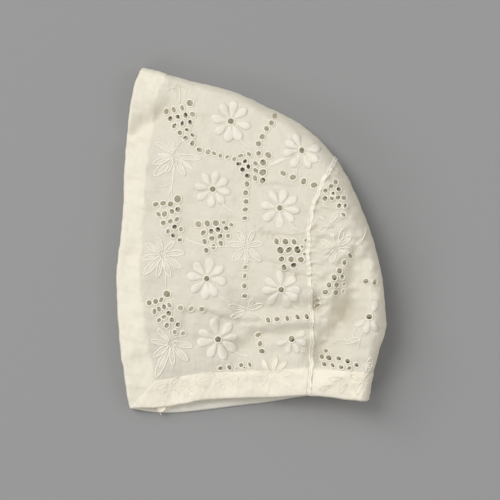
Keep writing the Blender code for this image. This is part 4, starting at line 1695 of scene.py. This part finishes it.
@dataclass
class Embroidery:
    """The whitework on one layer: overcast eyelets, padded petals, leaves and stems."""

    form: CapForm
    side: Side
    shift: tuple[float, float] = (0.0, 0.0)
    ring_thread: float = 0.00036
    line_thread: float = 0.00038
    petal_padding: float = 0.00100
    petal_foot_px: float = 3.3
    petal_fullness: float = 1.75
    leaf_fullness: float = 1.15
    leaf_padding: float = 0.00050
    under_padding: float = 0.00020
    fold_margin: float = 0.0012
    leaf_reach: float = 0.10
    overhangs: bool = False

    def on_layer(self, shapes: Array) -> Flags:
        """Which shapes, stacked first, lie wholly inside the outline and clear of the fold."""
        inside = self.form.within(shapes.reshape(-1, 2), self.fold_margin) | self.overhangs
        return inside.reshape(len(shapes), -1).all(axis=1)

    def tubes(self, name: str, paths: Array, radius: float, height: float, closed: bool,
              sides: int = 6) -> bpy.types.Object:
        """Lays round threads on the cloth.

        Each ring of a thread is a circle across its path, between the direction out of the cloth
        and the direction square to both the path and that one.

        Args:
            name: The piece's name.
            paths: K paths of n points in plan, as K, n, 2.
            radius: The thread's radius.
            height: How far its middle lies over the cloth.
            closed: Whether each path is a loop.
            sides: Sides of a ring.

        Returns:
            The joined threads.
        """
        plan = paths + np.array(self.shift)
        plan = plan[self.on_layer(plan)]
        middle = self.form.raised(plan, height, self.side)
        over = self.form.raised(plan, height + 0.0004, self.side)
        out = unit(over - middle)
        if closed:
            run = np.roll(middle, -1, axis=1) - np.roll(middle, 1, axis=1)
        else:
            run = np.gradient(middle, axis=1)
        beside = unit(np.cross(run, out))
        angle = np.arange(sides) * 2 * np.pi / sides
        thin = np.ones(paths.shape[1])
        if not closed:
            place = np.linspace(0, 1, paths.shape[1])
            thin = np.clip(np.minimum(place, 1 - place) * 8, 0.02, 1) ** 0.5
        size = (radius * thin)[None, :, None, None]
        spoke = np.cos(angle)[:, None] * beside[:, :, None] + np.sin(angle)[:, None] * out[:, :, None]
        rings = middle[:, :, None] + size * spoke
        count, steps = plan.shape[:2]
        if closed:
            rings = np.concatenate([rings, rings[:, :1]], axis=1)
            steps += 1
        points = rings.reshape(count, steps * sides, 3)
        faces = copies(points, grid_faces(steps, sides, closed=True))
        length = np.linalg.norm(np.diff(rings[:, :, 0], axis=1), axis=-1).mean() * np.arange(steps)
        around = angle * radius
        uv = np.stack(np.broadcast_arrays(around[None, :], length[:, None]), axis=-1)
        return make_piece(name, points.reshape(-1, 3), faces, np.tile(uv.reshape(-1, 2), (count, 1)))

    def pads(self, name: str, feet: Array, tips: Array, widths: Array, height: Array, fullness: float,
             rows: int, columns: int) -> bpy.types.Object:
        """Lays padded satin shapes on the cloth.

        At a share t from foot to tip the half width is W sin(pi t^f)^0.55, so a fullness f over 1
        gives a narrow foot and a full round tip. Across it the height is a half oval, H sqrt(1 - s^2).

        Args:
            name: The piece's name.
            feet: K feet in plan.
            tips: K tips in plan.
            widths: K full widths.
            height: K heights of the padding.
            fullness: The power f.
            rows: Steps along a shape.
            columns: Steps across it.

        Returns:
            The joined shapes.
        """
        t = (1 - np.cos(np.linspace(0, np.pi, rows))) / 2
        s = np.sin(np.linspace(-np.pi / 2, np.pi / 2, columns))
        run = tips - feet
        side = unit(run) @ QUARTER_TURN
        wide = np.clip(np.sin(np.pi * t**fullness), 0, 1) ** 0.55
        half = widths[:, None] / 2 * wide[None]
        plan = (
            feet[:, None, None]
            + run[:, None, None] * t[None, :, None, None]
            + side[:, None, None] * half[:, :, None, None] * s[None, None, :, None]
        )
        plan = plan + np.array(self.shift)
        kept = self.on_layer(plan)
        dome = np.sqrt(np.clip(1 - s**2, 0, 1))
        top = height[kept, None, None] * (wide**0.7)[None, :, None] * dome[None, None, :]
        strands = 1 + 0.04 * np.sin(t * rows * 2.1)[None, :, None]
        points = self.form.raised(plan[kept], top * strands - 0.00010, self.side)
        count = int(kept.sum())
        points = points.reshape(count, rows * columns, 3)
        faces = copies(points, grid_faces(rows, columns))
        if self.side is Side.FAR:
            faces = faces[:, ::-1]
        length = np.linalg.norm(run, axis=1).mean()
        uv = np.stack(np.broadcast_arrays(s[None, :] * PAD_HALF_WIDTH, t[:, None] * length), axis=-1)
        return make_piece(name, points.reshape(-1, 3), faces, np.tile(uv.reshape(-1, 2), (count, 1)))

    def eyelet_rings(self, holes: Holes, steps: int, name: str,
                     height: float = 0.00015) -> bpy.types.Object:
        """The overcast rim of each eyelet: a thread on an ellipse just outside the hole.

        Args:
            holes: The eyelets.
            steps: Steps round each ring.
            name: The piece's name.
            height: How far the thread's middle lies over the cloth.

        Returns:
            The joined rings.
        """
        centres, radii, turns = holes
        angle = np.arange(steps) * 2 * np.pi / steps
        grown = radii + self.ring_thread * 0.55
        right = np.cos(angle) * grown[:, :1]
        up = np.sin(angle) * grown[:, 1:]
        cos, sin = np.cos(turns)[:, None], np.sin(turns)[:, None]
        paths = np.stack([cos * right - sin * up, sin * right + cos * up], axis=-1) + centres[:, None]
        return self.tubes(name, paths, self.ring_thread, height, True)

    def petals(self, rows: int, columns: int) -> bpy.types.Object:
        """The daisies' petals, each from just outside the middle eyelet to its reach.

        Args:
            rows: Steps along a petal.
            columns: Steps across it.

        Returns:
            The joined petals.
        """
        rng = np.random.default_rng(31)
        feet, tips, widths = [], [], []
        for daisy in DAISIES:
            turns = np.radians(np.array(daisy.turns_deg) + rng.normal(0, 2.0, len(daisy.turns_deg)))
            heading = np.stack([np.cos(turns), np.sin(turns)], axis=-1)
            reach = daisy.reach * self.form.pixel * rng.uniform(0.95, 1.04, len(turns))
            middle = self.form.from_photo(daisy.px, daisy.py)
            feet.append(middle + heading * self.petal_foot_px * self.form.pixel)
            tips.append(middle + heading * reach[:, None])
            widths.append(reach * rng.uniform(0.43, 0.51, len(turns)))
        count = sum(len(part) for part in widths)
        height = np.full(count, self.petal_padding)
        return self.pads(
            f"petals_{self.side.value}", np.concatenate(feet), np.concatenate(tips),
            np.concatenate(widths), height, self.petal_fullness, rows, columns,
        )

    def leaf_ends(self, leaves: list[Leaf]) -> tuple[Array, Array]:
        """The feet and the tips of leaves in plan."""
        feet = self.form.from_photo([leaf.foot_px for leaf in leaves], [leaf.foot_py for leaf in leaves])
        tips = self.form.from_photo([leaf.tip_px for leaf in leaves], [leaf.tip_py for leaf in leaves])
        return feet, tips

    def leaf_loops(self, leaves: list[Leaf]) -> Array:
        """Outlines of leaves: along the leaf by a cosine, and out by a sine drawn to its tip.

        Args:
            leaves: The leaves' chart.

        Returns:
            K closed paths in plan, as K, n, 2.
        """
        feet, tips = self.leaf_ends(leaves)
        width = np.array([leaf.width for leaf in leaves]) * self.form.pixel / 2
        angle = np.arange(LEAF_STEPS) * 2 * np.pi / LEAF_STEPS
        along = (1 - np.cos(angle)) / 2
        out = np.sin(angle) * (0.62 + 0.5 * along) * (1 - 0.25 * along**3)
        run = (tips - feet) * (1 + self.leaf_reach)
        feet = tips - run
        side = unit(run) @ QUARTER_TURN
        return feet[:, None] + run[:, None] * along[None, :, None] + (
            side[:, None] * width[:, None, None] * out[None, :, None]
        )

    def leaf_veins(self, leaves: list[Leaf]) -> Array:
        """The middle line of each leaf, short of its tip."""
        feet, tips = self.leaf_ends(leaves)
        t = np.linspace(0.02, 0.72, STEM_STEPS)
        return feet[:, None] + (tips - feet)[:, None] * t[None, :, None]

    def stem_paths(self) -> Array:
        """The stems, each bowed by half a sine wave, with those of the daisies.

        Returns:
            K open paths in plan, as K, n, 2.
        """
        rows = list(STEMS)
        for daisy in DAISIES:
            turn = math.atan2(daisy.py - daisy.stem_py, daisy.stem_px - daisy.px)
            from_px = daisy.px + 0.50 * daisy.reach * math.cos(turn)
            from_py = daisy.py - 0.50 * daisy.reach * math.sin(turn)
            rows.append(Stem(from_px, from_py, daisy.stem_px, daisy.stem_py, -0.14))
        start = self.form.from_photo([s.from_px for s in rows], [s.from_py for s in rows])
        end = self.form.from_photo([s.to_px for s in rows], [s.to_py for s in rows])
        bow = np.array([s.bow for s in rows])
        t = np.linspace(0, 1, STEM_STEPS)
        run = end - start
        side = run @ QUARTER_TURN
        bent = side[:, None] * (bow[:, None] * np.sin(np.pi * t)[None])[..., None]
        return start[:, None] + run[:, None] * t[None, :, None] + bent

    def build(self, holes: Holes) -> list[tuple[bpy.types.Object, Finish]]:
        """Makes the layer's embroidery.

        Args:
            holes: The charted eyelets.

        Returns:
            Each piece with its finish.
        """
        near = self.side is Side.NEAR
        rng = np.random.default_rng(41)
        every = with_daisies(self.form, holes, rng.uniform(0.9, 1.1, (len(DAISIES), 2)))
        name, thread, thin = self.side.value, self.line_thread, self.line_thread * 0.7
        outlined = [leaf for leaf in LEAVES if leaf.kind is LeafKind.OUTLINED]
        filled = [leaf for leaf in LEAVES if leaf.kind is LeafKind.FILLED]
        pieces = [
            (self.eyelet_rings(every, 22 if near else 14, f"eyelet_rims_{name}"), OVERCAST),
            (self.petals(30 if near else 14, 13 if near else 7), SATIN_EDGE_SHADED),
            (self.tubes(f"leaf_outlines_{name}", self.leaf_loops(outlined), thread, 0.00012, True), OUTLINE),
            (self.tubes(f"leaf_veins_{name}", self.leaf_veins(outlined), thin, 0.00004, False), OUTLINE),
            (self.tubes(f"stems_{name}", self.stem_paths(), thread * 0.85, 0.00010, False), OUTLINE),
            (self.leaf_pads(f"satin_leaves_{name}", filled, self.leaf_padding), SATIN_EDGE_SHADED),
            (self.leaf_pads(f"leaf_grounds_{name}", outlined, self.under_padding), SHEER),
        ]
        return pieces

    def leaf_pads(self, name: str, leaves: list[Leaf], height: float) -> bpy.types.Object:
        """The padding of leaves, widest a little past their middles.

        Args:
            name: The piece's name.
            leaves: The leaves' chart.
            height: Height of the padding.

        Returns:
            The joined leaves.
        """
        feet, tips = self.leaf_ends(leaves)
        widths = np.array([leaf.width for leaf in leaves]) * self.form.pixel
        return self.pads(name, feet, tips, widths, np.full(len(leaves), height), self.leaf_fullness, 16, 7)


@dataclass
class HemShadows:
    """Embroidery caught inside the near neck hem, which shows as low ridges on it."""

    form: CapForm
    thread: float = 0.00026
    height: float = 0.00038

    def build(self) -> list[bpy.types.Object]:
        """Makes the faint rings and leaves."""
        work = Embroidery(self.form, Side.NEAR, ring_thread=self.thread)
        loops = work.leaf_loops(list(HEM_LEAVES))
        rings = work.eyelet_rings(eyelet_holes(self.form, HEM_RINGS, 13), 18, "hem_rings", self.height)
        outlines = work.tubes("hem_leaves", loops, self.thread, self.height, True)
        return [rings, outlines, work.leaf_pads("hem_leaf_grounds", list(HEM_LEAVES), self.height + 0.00016)]


@dataclass
class LooseEnds:
    """The small tab and the frayed threads that hang out at the front lower corner."""

    form: CapForm
    radius: float = 0.00014
    lie: float = -0.0012

    def build(self) -> list[bpy.types.Object]:
        """Lays the tab and the threads down over the far hem's edge."""
        work = Embroidery(self.form, Side.NEAR, overhangs=True)
        starts = self.form.from_photo([164.0, 165.0, 166.5], [407.5, 407.8, 407.0])
        ends = self.form.from_photo([161.0, 165.8, 168.0], [416.2, 413.0, 411.4])
        t = np.linspace(0, 1, STEM_STEPS)
        run = ends - starts
        side = run @ QUARTER_TURN
        curl = 0.14 * np.sin(2.3 * np.pi * t)
        paths = starts[:, None] + run[:, None] * t[None, :, None] + side[:, None] * curl[None, :, None]
        threads = work.tubes("loose_threads", paths, self.radius, self.lie, False)
        tab = work.pads(
            "loose_tab", self.form.from_photo([167.0], [405.0]), self.form.from_photo([157.0], [411.4]),
            np.array([7.6 * self.form.pixel]), np.array([self.lie]), 1.6, 16, 9,
        )
        return [threads, tab]


class Lamp(NamedTuple):
    """A soft light: its name, its place in metres and its power in watts."""

    name: str
    place: tuple[float, float, float]
    power: float


LAMPS = (
    Lamp("key", (-1.5, 1.3, 3.7), 70.0),
    Lamp("side", (-2.4, 2.0, 2.6), 40.0),
    Lamp("right", (2.8, 0.3, 2.8), 14.0),
    Lamp("foot", (-2.4, -2.0, 2.6), 22.0),
)


@dataclass
class Studio:
    """The plain floor, the soft lights and the camera above. The key light is at the upper left."""

    form: CapForm
    floor_size: float = 1.6
    floor_grey: float = 0.278
    floor_gap: float = 0.00025
    sky: float = 0.51
    lamp_size: float = 1.6
    lens: float = 180.0
    sensor: float = 36.0
    focus_height: float = 0.010

    def floor(self) -> None:
        """A plain matt floor just under the cap."""
        half = self.floor_size / 2
        corners = np.array([[-half, -half], [half, -half], [-half, half], [half, half]])
        points = np.column_stack([corners, np.full(4, -self.floor_gap)])
        floor = make_piece("floor", points, np.array([[0, 1, 3, 2]]), corners)
        build = FinishNodes("grey_paper")
        grain = build.noise(900.0, 2.0)
        low, high = self.floor_grey * 0.985, self.floor_grey * 1.015
        dark, light = Stop(0.0, (low, low, low)), Stop(1.0, (high, high, high))
        build.join(build.tones(grain, "Fac", dark, light), "Color", build.shader, "Base Color")
        build.shader.inputs["Roughness"].default_value = 0.95
        build.shader.inputs["Specular IOR Level"].default_value = 0.1
        floor.data.materials.append(build.material)

    def light(self, chosen: Lamp) -> None:
        """A square soft light that faces the cap.

        Args:
            chosen: The lamp's name, place and power.
        """
        light = bpy.data.lights.new(chosen.name, "AREA")
        light.shape = "SQUARE"
        light.size = self.lamp_size
        light.energy = chosen.power
        lamp = bpy.data.objects.new(chosen.name, light)
        lamp.location = chosen.place
        x, y, z = -np.array(chosen.place)
        lamp.rotation_euler = (math.atan2(math.hypot(x, y), -z), 0.0, math.atan2(y, x) - math.pi / 2)
        bpy.context.scene.collection.objects.link(lamp)

    def camera(self) -> None:
        """The camera straight above, with the cap where the photograph has it."""
        data = bpy.data.cameras.new("camera")
        data.lens = self.lens
        data.sensor_width = self.sensor
        camera = bpy.data.objects.new("camera", data)
        frame_width = PHOTO_WIDTH * self.form.pixel
        centre = self.form.from_photo(PHOTO_WIDTH / 2, PHOTO_WIDTH / 2)
        height = self.focus_height + frame_width * self.lens / self.sensor
        camera.location = (float(centre[0]), float(centre[1]), height)
        bpy.context.scene.collection.objects.link(camera)
        bpy.context.scene.camera = camera

    def build(self) -> None:
        """Sets up the floor, the lights and the camera."""
        self.floor()
        for lamp in LAMPS:
            self.light(lamp)
        world = bpy.data.worlds.new("studio")
        world.use_nodes = True
        sky = world.node_tree.nodes["Background"]
        sky.inputs["Color"].default_value = (1.0, 1.0, 1.0, 1.0)
        sky.inputs["Strength"].default_value = self.sky
        bpy.context.scene.world = world
        bpy.context.scene.view_settings.view_transform = "Standard"
        self.camera()


def dress(piece: bpy.types.Object, finish: Finish, slot: str, *nodes: str) -> None:
    """Gives a piece its finish and its body, and the CAD nodes that it stands for.

    Args:
        piece: The piece.
        finish: What it is made of.
        slot: Its material slot; not used.
        nodes: The CAD nodes that it stands for, if any.
    """
    material = bpy.data.materials.get(finish.name) or finish.material()
    piece.data.materials.append(material)
    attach(piece, "root")
    if nodes:
        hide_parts(*nodes)
    LOG.info("%s: %d faces", piece.name, len(piece.data.polygons))


def main() -> None:
    """Builds the cap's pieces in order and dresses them."""
    logging.basicConfig(level=logging.INFO, format="%(message)s")
    form = CapForm(np.array(CAD_BOUNDS[0]), np.array(CAD_BOUNDS[1]))
    Studio(form).build()

    panels = Panels(form)
    front, back = panels.front(), panels.back()
    dress(front, SHEER, "batiste", "front_panel")
    dress(back, SHEER, "batiste", "back_panel")
    # The far faces of both panels take the far batiste, painted brighter as painted light inside the cap
    far_cloth_brightened = SHEER_FAR_BRIGHTENED.material()
    for panel in (front, back):
        panel.data.materials.append(far_cloth_brightened)

    bands = Bands(form)
    front_hem, seam = bands.front_hem(), bands.crown_seam()
    left = bands.side_neck_hem("neck_hem_left_band", Side.NEAR)
    right = bands.side_neck_hem("neck_hem_right_band", Side.FAR)
    back_hem = bands.back_neck_hem()
    dress(front_hem, HEM, "hem", "front_hem")
    dress(seam, SEAM, "seam", "crown_seam")
    # The near and back neck hems take the hem cloth painted brighter, as painted light
    dress(left, NECK_HEM_BRIGHTENED, "hem", "neck_hem_left")
    # The far neck hem takes the hem cloth painted brighter, as painted light
    dress(right, HEM_FAR_BRIGHTENED, "hem", "neck_hem_right")
    dress(back_hem, NECK_HEM_BRIGHTENED, "hem", "neck_hem_back")

    for side, shift in ((Side.NEAR, (0.0, 0.0)), (Side.FAR, panels.far_shift)):
        for piece, finish in Embroidery(form, side, shift).build(panels.charted):
            dress(piece, finish, "batiste")
    for piece in HemShadows(form).build() + LooseEnds(form).build():
        # The ridges on the near neck hem, the tab and the threads take the same brightened hem finish
        dress(piece, NECK_HEM_BRIGHTENED, "hem")


if __name__ == "__main__":
    main()
